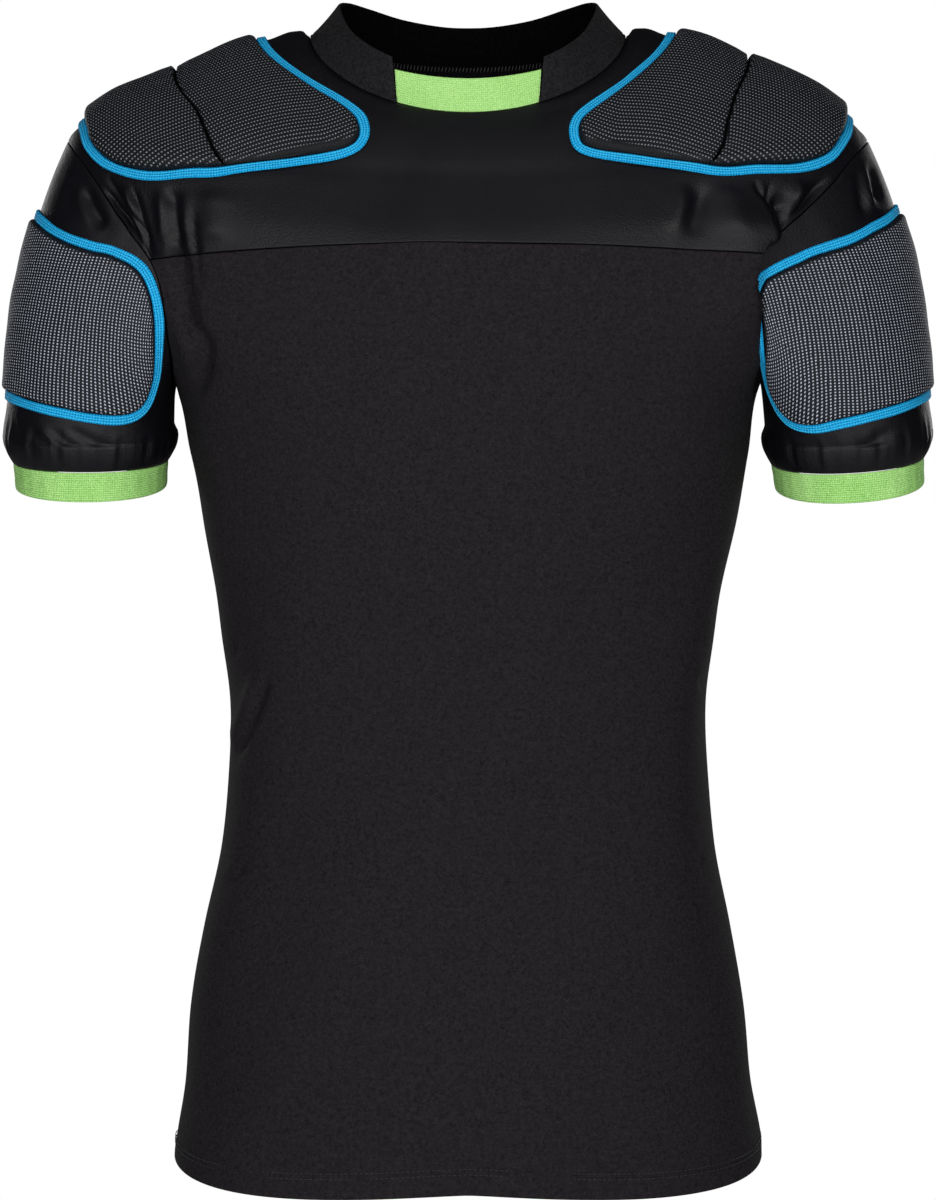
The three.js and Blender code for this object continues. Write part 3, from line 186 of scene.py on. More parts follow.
# The same for the back: x and z as they are. Only cloth that faces the back takes them.
BACK_CREASES = [
    ("yoke", "s", 7.0, -2.2, [(-20.0, -40.0), (-24.0, -70.0), (-18.0, -104.0)]),
    ("yoke", "s", 8.0, -1.8, [(34.0, -44.0), (40.0, -78.0), (30.0, -116.0)]),
    ("yoke", "s", 9.0, 1.4, [(8.0, -46.0), (6.0, -80.0), (10.0, -122.0)]),
    ("yoke", "s", 5.0, -2.6, [(-118.0, -104.0), (-134.0, -120.0), (-166.0, -136.0)]),
    ("yoke body", "s", 5.5, -3.0, [(-176.0, -96.0), (-172.0, -124.0), (-160.0, -156.0)]),
    ("yoke body", "s", 5.5, -2.8, [(178.0, -98.0), (171.0, -128.0), (166.0, -160.0)]),
    ("yoke", "v", 1.6, -1.4, [(-196.0, -92.0), (-190.0, -112.0), (-186.0, -134.0)]),
    ("yoke", "v", 1.6, -1.4, [(199.0, -90.0), (195.0, -110.0), (188.0, -136.0)]),
    ("yoke", "s", 5.0, -2.0, [(122.0, -102.0), (140.0, -118.0), (162.0, -133.0)]),
    ("body", "s", 7.0, -3.2, [(-176.0, -196.0), (-140.0, -222.0), (-96.0, -236.0)]),
    ("body", "s", 6.5, -2.6, [(-172.0, -226.0), (-142.0, -250.0), (-112.0, -262.0)]),
    ("body", "s", 7.0, -3.0, [(178.0, -198.0), (146.0, -224.0), (108.0, -240.0)]),
    ("body", "s", 6.0, -2.4, [(170.0, -232.0), (150.0, -250.0), (122.0, -258.0)]),
    ("body", "s", 9.0, -3.6, [(-120.0, -392.0), (-60.0, -410.0), (-8.0, -404.0)]),
    ("body", "s", 8.0, -3.0, [(-138.0, -424.0), (-84.0, -440.0), (-30.0, -436.0)]),
    ("body", "s", 9.0, -3.2, [(126.0, -398.0), (70.0, -418.0), (14.0, -412.0)]),
    ("body", "s", 8.0, -2.8, [(136.0, -432.0), (92.0, -452.0), (46.0, -450.0)]),
    ("body", "s", 9.0, -2.0, [(-100.0, -470.0), (-40.0, -482.0), (30.0, -474.0)]),
    ("body", "v", 1.8, -2.0, [(-141.0, -402.0), (-128.0, -424.0), (-122.0, -446.0)]),
    ("body", "v", 1.8, -1.8, [(143.0, -408.0), (134.0, -430.0), (120.0, -444.0)]),
    ("body", "s", 10.0, -1.4, [(60.0, -560.0), (64.0, -610.0), (58.0, -660.0)]),
    ("body", "s", 11.0, -1.2, [(-74.0, -556.0), (-80.0, -604.0), (-72.0, -652.0)]),
    ("sleeve_L", "s", 3.2, -1.8, [(-272.0, -240.0), (-250.0, -250.0), (-226.0, -254.0)]),
    ("sleeve_L", "s", 3.0, -1.4, [(-262.0, -232.0), (-240.0, -240.0), (-214.0, -248.0)]),
    ("sleeve_R", "s", 3.2, -1.8, [(274.0, -240.0), (250.0, -251.0), (224.0, -255.0)]),
    ("sleeve_R", "s", 3.0, -1.4, [(258.0, -232.0), (238.0, -241.0), (212.0, -246.0)]),
]
# Long shallow waves of the cloth over the body: waves round it, wave length along, turn, height
WAVES = [(5, 410.0, 0.4, 0.9), (9, 240.0, 2.1, 0.55), (14, 330.0, 4.4, 0.32), (4, 120.0, 1.2, 0.45)]


# ------------------------------------------------------------------ small helpers
def unit(v):
    return v / np.maximum(np.linalg.norm(v, axis=-1, keepdims=True), 1e-12)


def dot(a, b):
    return (a * b).sum(-1, keepdims=True)


def smooth(v):
    u = np.clip(v, 0, 1)
    return u * u * (3 - 2 * u)


def mix(a, b, u):
    return a + (b - a) * u


def smooth_read(rows):
    """Smooth reading of a table whose first column rises: every other column at each x."""
    table = np.array(rows, float)
    t, v = table[:, 0], table[:, 1:]
    h = np.diff(t)
    slope = np.diff(v, axis=0) / h[:, None]
    tangent = np.zeros_like(v)
    tangent[0], tangent[-1] = slope[0], slope[-1]
    tangent[1:-1] = (slope[:-1] * h[1:, None] + slope[1:] * h[:-1, None]) / (h[:-1] + h[1:])[:, None]

    def at(x):
        x = np.asarray(x, float)
        i = np.clip(np.searchsorted(t, x, side="right") - 1, 0, len(t) - 2)
        u = ((x - t[i]) / h[i])[..., None]
        step = h[i][..., None]
        return (v[i] * (2 * u**3 - 3 * u**2 + 1) + tangent[i] * step * (u**3 - 2 * u**2 + u)
                + v[i + 1] * (3 * u**2 - 2 * u**3) + tangent[i + 1] * step * (u**3 - u**2))

    return at


# ------------------------------------------------------------------ the torso form
torso_at = smooth_read(TORSO)


def form(theta, level):
    """Point of the torso form: theta 0 at the +X side, 90 degrees at the front middle, 270 at the back."""
    theta, level = np.broadcast_arrays(np.asarray(theta, float), np.asarray(level, float))
    half, side_z, front_d, front_z, back_d, back_z, rnd, dip = np.moveaxis(torso_at(level), -1, 0)
    c, s = np.cos(theta), np.sin(theta)
    k = (np.abs(c) ** rnd + np.abs(s) ** rnd) ** (-1 / rnd)
    x = half * c * k
    y = -np.where(s >= 0, front_d, back_d) * s * k
    z = side_z + (np.where(s >= 0, front_z, back_z) - side_z) * np.abs(s) ** dip
    z = z + (RIGHT_SHOULDER_LIFT * smooth((x - 92) / 60) * smooth((246 - x) / 60)
             * np.clip((level - 560) / 60, 0, 1) * np.clip(1 - s * s, 0, 1))
    z = z - np.where(s > 0, HEM_DROP * np.abs(2 * s * c) ** 1.3 * (1 - smooth(level / 120)), 0)
    return np.stack([x, y, z], -1)


def form_normal(theta, level):
    theta, level = np.broadcast_arrays(np.asarray(theta, float), np.asarray(level, float))
    e = 1e-3
    lo, hi = np.maximum(level - 0.05, 0), np.minimum(level + 0.05, NECK_LEVEL)
    return unit(np.cross(form(theta, hi) - form(theta, lo), form(theta + e, level) - form(theta - e, level)))


# ------------------------------------------------------------------ the sleeves
def outward(side):
    return 1.0 if side == "R" else -1.0


def turn(side, girth):
    return girth if side == "R" else math.pi - girth


def armhole(side, rnd):
    around = np.mod(np.asarray(rnd, float) / RAD, 360)
    reach = np.interp(around, ARMHOLE[:, 0], ARMHOLE[:, 2 if side == "R" else 1]) * RAD
    return turn(side, reach * np.sin(rnd)), YOKE_LEVEL + ARMHOLE_HALF * np.cos(rnd)


def sleeve_ring(side, ring, rnd):
    x, y, z, half_w, half_d, fall, rise = SLEEVE_END[side][ring]
    c, s = np.cos(rnd), np.sin(rnd)
    k = (np.abs(c) ** CUFF_ROUND + np.abs(s) ** CUFF_ROUND) ** (-1 / CUFF_ROUND)
    return np.stack([outward(side) * (x + half_w * c * k), y - half_d * s * k, z - fall * s * k + rise * c * k], -1)


def sleeve(side, rnd, share):
    """round 0 outer side, 90 degrees front, 180 next to the torso; share 0 armhole, 1 fullest ring over the cuff."""
    rnd, share = np.broadcast_arrays(np.asarray(rnd, float), np.asarray(share, float))
    start = form(*armhole(side, rnd))
    end = sleeve_ring(side, "blouse", rnd)
    way = end - start
    s = np.sin(rnd)
    up = ((1 + np.cos(rnd)) / 2) ** 1.3
    around = np.mod(rnd / RAD, 360)
    tuck = np.clip((175 - around) / 50, 0, 1) * np.clip((around - 60) / 40, 0, 1) if side == "R" else 0 * s
    sg = outward(side)
    leave = way + np.stack([sg * (47 * up + 14 * np.abs(s) - 17 * tuck), -np.where(s > 0, 4.0, -6.0) * np.abs(s) + 20 * tuck, -4 * (1 - up)], -1)
    arrive = way + np.stack([-sg * 30 * up, 0 * s, -3 * (1 - up)], -1)
    u = share[..., None]
    return (start * (2 * u**3 - 3 * u**2 + 1) + leave * (u**3 - 2 * u**2 + u)
            + end * (3 * u**2 - 2 * u**3) + arrive * (u**3 - u**2))


def sleeve_normal(side, rnd, share):
    rnd, share = np.broadcast_arrays(np.asarray(rnd, float), np.asarray(share, float))
    e = 1e-3
    lo, hi = np.maximum(share - e, 0), np.minimum(share + e, 1)
    n = np.cross(sleeve(side, rnd + e, share) - sleeve(side, rnd - e, share), sleeve(side, rnd, hi) - sleeve(side, rnd, lo))
    return unit(n) * outward(side)


# ------------------------------------------------------------------ sewn edges
def mitre(n1, d1, n2, d2):
    hollow = np.where(dot(d2, n1) > 0, 1.0, -1.0)
    inward = unit(-(n1 + n2) - (d1 + d2) * hollow)
    apart = unit((d1 - d2) + (n2 - n1) * hollow)
    depth1 = np.minimum(1 / np.maximum(np.abs(dot(n1, inward)), 0.05), 1.6)
    depth2 = np.minimum(1 / np.maximum(np.abs(dot(n2, inward)), 0.05), 1.6)
    return inward, apart, depth1, depth2


def armhole_mitre(side, rnd):
    theta, level = armhole(side, rnd)
    e = 0.01
    along = unit(form(*armhole(side, rnd + e)) - form(*armhole(side, rnd - e)))
    n1 = form_normal(theta, level)
    n2 = sleeve_normal(side, rnd, 0.01)
    away = sleeve(side, rnd, 0.03) - sleeve(side, rnd, 0.0)
    d2 = unit(away - along * dot(away, along))
    middle = form(turn(side, 0.0), YOKE_LEVEL)
    d1 = np.cross(along, n1)
    d1 = np.where(dot(d1, form(theta, level) - middle) < 0, -d1, d1)
    return mitre(n1, unit(d1), n2, d2)


# ------------------------------------------------------------------ collar and tab
collar_top_at = smooth_read(COLLAR_TOP)


def collar_point(theta, share):
    theta, share = np.broadcast_arrays(np.asarray(theta, float), np.asarray(share, float))
    c, s = np.cos(theta), np.sin(theta)
    girth = np.arctan2(s, np.abs(c)) / RAD
    top = collar_top_at(np.clip(girth, -90, COLLAR_END_GIRTH))
    top = np.stack([np.where(c < 0, -1.0, 1.0) * top[..., 0], top[..., 1], top[..., 2]], -1)
    return mix(form(theta, NECK_LEVEL), top, share[..., None])


def tab_point(theta, share):
    theta, share = np.broadcast_arrays(np.asarray(theta, float), np.asarray(share, float))
    over = np.cos(theta) / math.cos(COLLAR_END)
    top = np.stack([TAB_TOP["x"] * over, TAB_TOP["y"] + TAB_TOP["end_back"] * over**2, TAB_TOP["z"] + TAB_TOP["end_rise"] * over**2], -1)
    return mix(form(theta, NECK_LEVEL), top, share[..., None])


def surface_normal(point, theta, share):
    theta, share = np.broadcast_arrays(np.asarray(theta, float), np.asarray(share, float))
    e = 1e-3
    lo, hi = np.maximum(share - 0.01, 0), np.minimum(share + 0.01, 1)
    n = unit(np.cross(point(theta, hi) - point(theta, lo), point(theta + e, share) - point(theta - e, share)))
    p = point(theta, share)
    return np.where((n[..., :1] * p[..., :1] + n[..., 1:2] * p[..., 1:2]) < 0, -n, n)


def neck_mitre(theta):
    theta = np.asarray(theta, float)
    out = []
    for point in (tab_point, collar_point):
        n1 = form_normal(theta, NECK_LEVEL - 0.1)
        along = unit(form(theta + 0.01, NECK_LEVEL) - form(theta - 0.01, NECK_LEVEL))
        away = form(theta, NECK_LEVEL - 2) - form(theta, NECK_LEVEL)
        up = point(theta, 0.3) - point(theta, 0.0)
        d1 = unit(away - along * dot(away, along))
        d2 = unit(up - along * dot(up, along))
        out.append(mitre(n1, d1, surface_normal(point, theta, 0.1), d2))
    front = (np.sin(theta) > math.sin(COLLAR_END) + 1e-6)[..., None]
    return [np.where(front, a, b) for a, b in zip(*out)]


# ------------------------------------------------------------------ creases
def line_distance(p, line):
    """Signed distance from points of a plane to a line of points, and the share of the line's length there."""
    line = np.array(line, float)
    legs = np.linalg.norm(np.diff(line, axis=0), axis=1)
    best = np.full(len(p), 1e9)
    sign = np.ones(len(p))
    share = np.zeros(len(p))
    done = 0.0
    for a, b, leg in zip(line[:-1], line[1:], legs):
        d = (b - a) / leg
        w = p - a
        along = np.clip(w @ d, 0, leg)
        off = w - along[:, None] * d
        far = np.hypot(off[:, 0], off[:, 1])
        nearer = far < best
        best = np.where(nearer, far, best)
        sign = np.where(nearer, np.sign(d[0] * w[:, 1] - d[1] * w[:, 0]), sign)
        share = np.where(nearer, (done + along) / legs.sum(), share)
        done += leg
    return best * sign, share


def rounded_line(points, steps=6):
    """More points on a smooth line through the given ones."""
    p = np.array(points, float)
    ends = np.vstack([2 * p[0] - p[1], p, 2 * p[-1] - p[-2]])
    out = []
    for i in range(1, len(ends) - 2):
        for u in np.linspace(0, 1, steps, endpoint=False):
            a, b, c, d = ends[i - 1], ends[i], ends[i + 1], ends[i + 2]
            out.append(0.5 * (2 * b + (c - a) * u + (2 * a - 5 * b + 4 * c - d) * u**2 + (3 * b - a - 3 * c + d) * u**3))
    out.append(p[-1])
    return np.array(out)


def crease_height(piece, points, normals):
    """How far the creases move each point of a piece along its normal."""
    shape = points.shape[:-1]
    p, n = points.reshape(-1, 3), normals.reshape(-1, 3)
    out = np.zeros(len(p))
    k = 2600.0 / (2600.0 + p[:, 1])
    seen = np.stack([p[:, 0] * k, -349.7 + (p[:, 2] + 349.7) * k], -1)
    eye = unit(np.array([0, -2600.0, -349.7]) - p)
    faces_front = smooth(((n * eye).sum(-1) + 0.02) / 0.2)
    faces_back = smooth((n[:, 1] + 0.02) / 0.25)
    for rows, plane, facing in ((FRONT_CREASES, seen, faces_front), (BACK_CREASES, p[:, [0, 2]], faces_back)):
        for pieces, kind, width, height, line in rows:
            if piece not in pieces.split():
                continue
            line = rounded_line(line)
            near = np.where((facing > 0) & (np.abs(plane - line.mean(0)).max(1) < np.ptp(line, axis=0).max() + 5 * width))[0]
            if not len(near):
                continue
            d, share = line_distance(plane[near], line)
            taper = smooth(share / 0.28) * smooth((1 - share) / 0.28) * 0.9 + 0.1
            taper = taper * (0.86 + 0.14 * np.sin(share * 9 + width * 5))
            if kind == "s":
                shape_ = np.exp(-((d / width) ** 2))
            else:
                shape_ = np.exp(0.35 - np.sqrt((d / width) ** 2 + 0.12)) - 0.16 * np.exp(-(((np.abs(d) - 2.6 * width) / (1.3 * width)) ** 2))
            out[near] += height * shape_ * taper * facing[near]
    return out.reshape(shape)


def wave_height(points, strength=1.0):
    x, y, z = points[..., 0], points[..., 1], points[..., 2]
    girth = np.arctan2(-y, x) / (2 * math.pi)
    total = 0
    for i, (across, along, turned, height) in enumerate(WAVES):
        total = total + height * np.sin(2 * math.pi * (girth * across + z / along + 0.07 * np.sin(z / 43 + i)) + turned)
    return total * strength


# ------------------------------------------------------------------ meshes
def mesh_piece(name, points, faces, material, node=None, uv=None, wrap=None, attributes=None, flip_check=True, smooth_faces=True, inner_painted_shade=None):
    """A piece from points in millimetres. faces: lists of corner numbers. uv: (n, 2) for each point."""
    points = np.asarray(points, float)
    tri_q = [f for f in faces if len(f) >= 3]
    volume = 0.0
    if flip_check:
        for group_size in (3, 4):
            g = np.array([f for f in tri_q if len(f) == group_size])
            if len(g):
                a, b, c = points[g[:, 0]], points[g[:, 1]], points[g[:, 2]]
                volume += np.einsum("ij,ij->", a, np.cross(b, c))
                if group_size == 4:
                    d = points[g[:, 3]]
                    volume += np.einsum("ij,ij->", a, np.cross(c, d))
        if volume < 0:
            tri_q = [tuple(reversed(f)) for f in tri_q]
    mesh = bpy.data.meshes.new(name)
    mesh.from_pydata((points * MM).tolist(), [], tri_q)
    loops = np.zeros(len(mesh.loops), np.int64)
    mesh.loops.foreach_get("vertex_index", loops)
    if uv is not None:
        uv = np.asarray(uv, float)
        corner = uv[loops]
        if wrap is not None:
            starts = np.zeros(len(mesh.polygons), np.int64)
            totals = np.zeros(len(mesh.polygons), np.int64)
            mesh.polygons.foreach_get("loop_start", starts)
            mesh.polygons.foreach_get("loop_total", totals)
            owner = np.repeat(np.arange(len(starts)), totals)
            high = np.full(len(starts), -1e9)
            np.maximum.at(high, owner, corner[:, 0])
            late = corner[:, 0] < high[owner] - wrap / 2
            corner[late, 0] += wrap
        layer = mesh.uv_layers.new(name="cloth")
        layer.data.foreach_set("uv", corner.astype(np.float32).ravel())
    for key, values in (attributes or {}).items():
        a = mesh.attributes.new(key, "FLOAT", "POINT")
        a.data.foreach_set("value", np.asarray(values, np.float32).ravel())
    if smooth_faces:
        mesh.polygons.foreach_set("use_smooth", np.ones(len(mesh.polygons), bool))
    mesh.update()
    obj = bpy.data.objects.new(name, mesh)
    bpy.context.scene.collection.objects.link(obj)
    mesh.materials.append(material)
    # a second material for the inner faces: painted shade inside the collar
    if inner_painted_shade:
        cloth, first = inner_painted_shade
        mesh.materials.append(cloth)
        mesh.polygons.foreach_set("material_index", np.array([min(f) >= first for f in tri_q], np.int32))
    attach(obj, "root")
    if node:
        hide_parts(*([node] if isinstance(node, str) else node))
    return obj


def grid_faces(rows, cols, closed, base=0, flip=False):
    i, j = np.meshgrid(np.arange(rows - 1), np.arange(cols if closed else cols - 1), indexing="ij")
    j2 = (j + 1) % cols
    quads = np.stack([i * cols + j, (i + 1) * cols + j, (i + 1) * cols + j2, i * cols + j2], -1).reshape(-1, 4) + base
    if flip:
        quads = quads[:, ::-1]
    return quads


def ladder(outer_ids, inner_ids, places, closed, flip):
    """Triangles between a fine line and a coarse one; places says where each coarse point is on the fine line."""
    out = []
    n = len(outer_ids)
    count = len(inner_ids)
    for k in range(count if closed else count - 1):
        a = places[k]
        b = places[(k + 1) % count]
        if closed and k == count - 1:
            b = n
        half = (a + b) // 2
        ia, ib = inner_ids[k], inner_ids[(k + 1) % count]
        for j in range(a, b):
            p, q = outer_ids[j % n], outer_ids[(j + 1) % n]
            out.append((p, q, ia) if j < half else (p, q, ib))
        out.append((ia, outer_ids[half % n], ib))
    if flip:
        out = [tuple(reversed(t)) for t in out]
    return out


def shell(outer, inner, closed, stride=2):
    """Points and faces of a wall with a fine outer grid and a coarser inner one."""
    rows, cols = outer.shape[:2]
    ri = sorted(set(list(range(0, rows, stride)) + [rows - 1]))
    ci = list(range(0, cols, stride))
    if closed and cols % stride:
        ci = ci[:-1] if len(ci) > 1 and cols - ci[-1] < stride / 2 else ci
    if not closed:
        ci = sorted(set(ci + [cols - 1]))
    small = inner[np.ix_(ri, ci)]
    base = rows * cols
    m, k = small.shape[:2]
    points = np.vstack([outer.reshape(-1, 3), small.reshape(-1, 3)])
    faces = [tuple(f) for f in grid_faces(rows, cols, closed).tolist()]
    faces += [tuple(f) for f in grid_faces(m, k, closed, base, flip=True).tolist()]
    ids = np.arange(base).reshape(rows, cols)
    low = base + np.arange(m * k).reshape(m, k)
    faces += ladder(ids[0].tolist(), low[0].tolist(), ci, closed, False)
    faces += ladder(ids[-1].tolist(), low[-1].tolist(), ci, closed, True)
    if not closed:
        faces += ladder(ids[:, 0].tolist(), low[:, 0].tolist(), ri, False, True)
        faces += ladder(ids[:, -1].tolist(), low[:, -1].tolist(), ri, False, False)
    pick = np.concatenate([np.arange(base), ids[np.ix_(ri, ci)].ravel()])
    return points, faces, pick


def edge_steps(length, step, first=(0.0, 0.12, 0.3, 0.55, 0.9, 1.4, 2.1), last=None):
    """Distances from 0 to length, close together at both ends."""
    last = first if last is None else last
    middle = np.arange(first[-1] + step, length - last[-1] - step * 0.5, step)
    return np.concatenate([first, middle, length - np.array(last)[::-1]])


def roll(distance, radius):
    """How far a cloth's face drops at its edge, which is rounded with that radius."""
    u = 1 - np.clip(distance / radius, 0, 1)
    return radius * (1 - np.sqrt(np.maximum(1 - u * u, 0)))


# ------------------------------------------------------------------ node helpers
class Nodes:
    def __init__(self, name):
        self.material = bpy.data.materials.new(name)
        self.material.use_nodes = True
        self.tree = self.material.node_tree
        self.shader = self.tree.nodes["Principled BSDF"]

    def add(self, kind, **settings):
        node = self.tree.nodes.new(kind)
        for key, value in settings.items():
            setattr(node, key, value)
        return node

    def link(self, a, b):
        self.tree.links.new(a, b)

    def math(self, operation, a, b=None, c=None):
        node = self.add("ShaderNodeMath", operation=operation)
        for i, v in enumerate((a, b, c)):
            if v is None:
                continue
            if isinstance(v, (int, float)):
                node.inputs[i].default_value = v
            else:
                self.link(v, node.inputs[i])
        return node.outputs[0]

    def noise(self, vector, scale, detail=2.0, rough=0.5):
        node = self.add("ShaderNodeTexNoise")
        node.inputs["Scale"].default_value = scale
        node.inputs["Detail"].default_value = detail
        node.inputs["Roughness"].default_value = rough
        self.link(vector, node.inputs["Vector"])
        return node.outputs["Fac"]

    def ramp(self, value, stops):
        node = self.add("ShaderNodeValToRGB")
        ramp = node.color_ramp
        while len(ramp.elements) < len(stops):
            ramp.elements.new(0.5)
        for element, (place, color) in zip(ramp.elements, stops):
            element.position = place
            element.color = (*color, 1)
        self.link(value, node.inputs[0])
        return node.outputs["Color"]

    def map(self, value, a, b, c=0.0, d=1.0, smoothstep=False):
        node = self.add("ShaderNodeMapRange")
        if smoothstep:
            node.interpolation_type = "SMOOTHSTEP"
        self.link(value, node.inputs["Value"])
        for key, v in (("From Min", a), ("From Max", b), ("To Min", c), ("To Max", d)):
            node.inputs[key].default_value = v
        return node.outputs[0]

    def blend(self, factor, a, b):
        node = self.add("ShaderNodeMix", data_type="RGBA")
        for value, socket in ((factor, node.inputs[0]), (a, node.inputs[6]), (b, node.inputs[7])):
            if isinstance(value, (int, float)):
                socket.default_value = value
            elif isinstance(value, tuple):
                socket.default_value = (*value, 1)
            else:
                self.link(value, socket)
        return node.outputs[2]

    def bump(self, height, distance, strength=1.0, under=None):
        node = self.add("ShaderNodeBump")
        node.inputs["Strength"].default_value = strength
        node.inputs["Distance"].default_value = distance
        self.link(height, node.inputs["Height"])
        if under is not None:
            self.link(under, node.inputs["Normal"])
        return node.outputs["Normal"]

    def object_place(self):
        return self.add("ShaderNodeTexCoord").outputs["Object"]

    def uv(self):
        node = self.add("ShaderNodeUVMap", uv_map="cloth")
        split = self.add("ShaderNodeSeparateXYZ")
        self.link(node.outputs[0], split.inputs[0])
        return node.outputs[0], split.outputs[0], split.outputs[1]

    def attribute(self, name):
        return self.add("ShaderNodeAttribute", attribute_name=name).outputs["Fac"]

    def set(self, **values):
        for key, v in values.items():
            self.shader.inputs[key.replace("_", " ")].default_value = v


def srgb(r, g, b):
    return tuple(c / 12.92 if c <= 0.04045 else ((c + 0.055) / 1.055) ** 2.4 for c in (r / 255, g / 255, b / 255))


def knit_material(name, dark, light, rough, grain=1.0, sheen=0.15, rib=0.0):
    m = Nodes(name)
    place = m.object_place()
    fine = m.noise(place, 1150.0, 3.0, 0.6)
    medium = m.noise(place, 420.0, 2.0, 0.5)
    speckle = m.math("ADD", m.math("MULTIPLY", fine, 0.62), m.math("MULTIPLY", medium, 0.38))
    color = m.ramp(speckle, [(0.36, dark), (0.5, tuple((a + b) / 2 for a, b in zip(dark, light))), (0.66, light)])
    m.link(color, m.shader.inputs["Base Color"])
    normal = m.bump(speckle, 0.0006, 0.55 * grain)
    _, u, v = m.uv()
    wale = m.math("SINE", m.math("MULTIPLY", u, 2 * math.pi / 1.25))
    course = m.math("SINE", m.math("ADD", m.math("MULTIPLY", v, 2 * math.pi / 1.0), m.math("MULTIPLY", m.math("ABSOLUTE", wale), 1.4)))
    knit = m.math("MULTIPLY", m.math("ADD", wale, course), 0.25)
    normal = m.bump(knit, 0.00022, 0.5 * grain, under=normal)
    m.link(normal, m.shader.inputs["Normal"])
    m.set(Roughness=rough, Sheen_Weight=sheen, Sheen_Roughness=0.5)
    m.shader.inputs["Specular IOR Level"].default_value = 0.16
    return m.material


def lycra_material(name, dark, light, rough):
    m = Nodes(name)
    place = m.object_place()
    fine = m.noise(place, 900.0, 2.0, 0.5)
    broad = m.noise(place, 22.0, 3.0, 0.55)
    tone = m.math("ADD", m.math("MULTIPLY", fine, 0.5), m.math("MULTIPLY", broad, 0.5))
    m.link(m.ramp(tone, [(0.38, dark), (0.64, light)]), m.shader.inputs["Base Color"])
    m.link(m.map(broad, 0.3, 0.7, rough - 0.05, rough + 0.06), m.shader.inputs["Roughness"])
    normal = m.bump(fine, 0.0004, 0.6)
    _, u, v = m.uv()
    rib = m.math("SINE", m.math("MULTIPLY", u, 2 * math.pi / 0.8))
    normal = m.bump(rib, 0.00004, 0.5, under=normal)
    m.link(normal, m.shader.inputs["Normal"])
    m.shader.inputs["Specular IOR Level"].default_value = 0.2
    return m.material


def dotted_material(name, ground_dark, ground_light, dot_color, pitch_u, pitch_v, dot_u, dot_v, painted_shade_margin=0.5):
    """Dark cover cloth with staggered rows of pale dots; the attribute 'edge' holds the distance to the pad's edge.
    Near the edge the dots are left off, painted shade where the cover turns down to the binding.
    """
    m = Nodes(name)
    _, u, v = m.uv()
    wobble = m.noise(m.object_place(), 60.0, 2.0)
    u = m.math("ADD", u, m.math("MULTIPLY", m.math("SUBTRACT", wobble, 0.5), 0.5))
    col = m.math("DIVIDE", v, pitch_v)
    col_i = m.math("FLOOR", col)
    odd = m.math("MULTIPLY", m.math("MODULO", m.math("ABSOLUTE", col_i), 2.0), 0.5)
    row = m.math("ADD", m.math("DIVIDE", u, pitch_u), odd)
    fv = m.math("MULTIPLY", m.math("SUBTRACT", m.math("SUBTRACT", col, col_i), 0.5), pitch_v / dot_v)
    fu = m.math("MULTIPLY", m.math("SUBTRACT", m.math("SUBTRACT", row, m.math("FLOOR", row)), 0.5), pitch_u / dot_u)
    slant = m.math("ADD", fu, m.math("MULTIPLY", fv, 0.35))
    r = m.math("SQRT", m.math("ADD", m.math("MULTIPLY", slant, slant), m.math("MULTIPLY", fv, fv)))
    spot = m.map(r, 0.62, 1.25, 1.0, 0.0, smoothstep=True)
    # dots left off near the pad's edge: painted shade where the cover rolls down
    inside = m.map(m.attribute("edge"), painted_shade_margin, painted_shade_margin + 1.2, 0.0, 1.0, smoothstep=True)
    spot = m.math("MULTIPLY", spot, inside)
    vary = m.noise(m.object_place(), 700.0, 1.0)
    spot_c = m.math("MULTIPLY", spot, m.map(vary, 0.3, 0.7, 0.65, 1.0))
    # slanting threads between the dots
    diag = m.math("SINE", m.math("MULTIPLY", m.math("ADD", m.math("DIVIDE", u, pitch_u), m.math("MULTIPLY", col, 0.5)), 2 * math.pi))
    ground = m.blend(m.map(diag, -1.0, 1.0, 0.0, 1.0), ground_dark, ground_light)
    m.link(m.blend(spot_c, ground, dot_color), m.shader.inputs["Base Color"])
    height = m.math("ADD", m.math("MULTIPLY", spot, 1.0), m.math("MULTIPLY", diag, 0.12))
    normal = m.bump(m.noise(m.object_place(), 800.0, 2.0), 0.0003, 0.3)
    normal = m.bump(height, 0.00035, 0.6, under=normal)
    m.link(normal, m.shader.inputs["Normal"])
    m.set(Roughness=0.66)
    m.shader.inputs["Specular IOR Level"].default_value = 0.2
    return m.material


def binding_material(name, dark, mid, light):
    """Flat elastic with three lines of stitching; u runs along it in mm, v across it from 0 to 1."""
    m = Nodes(name)
    _, u, v = m.uv()
    lines = m.math("COSINE", m.math("MULTIPLY", m.math("SUBTRACT", v, 0.5), 2 * math.pi * 3.55))
    stitch = m.math("SINE", m.math("MULTIPLY", u, 2 * math.pi / 1.7))
    slant = m.math("SINE", m.math("ADD", m.math("MULTIPLY", u, 2 * math.pi / 1.7), m.math("MULTIPLY", lines, 1.1)))
    place = m.object_place()
    grain = m.noise(place, 1300.0, 2.0)
    tone = m.math("ADD", m.math("MULTIPLY", lines, 0.20), m.math("MULTIPLY", slant, 0.17))
    tone = m.math("ADD", m.math("ADD", tone, 0.5), m.math("MULTIPLY", m.math("SUBTRACT", grain, 0.5), 0.7))
    m.link(m.ramp(tone, [(0.12, dark), (0.42, mid), (0.85, light)]), m.shader.inputs["Base Color"])
    height = m.math("ADD", m.math("MULTIPLY", lines, 0.6), m.math("MULTIPLY", slant, 0.4))
    normal = m.bump(height, 0.00035, 0.75)
    m.link(normal, m.shader.inputs["Normal"])
    m.set(Roughness=0.7)
    m.shader.inputs["Specular IOR Level"].default_value = 0.1
    return m.material


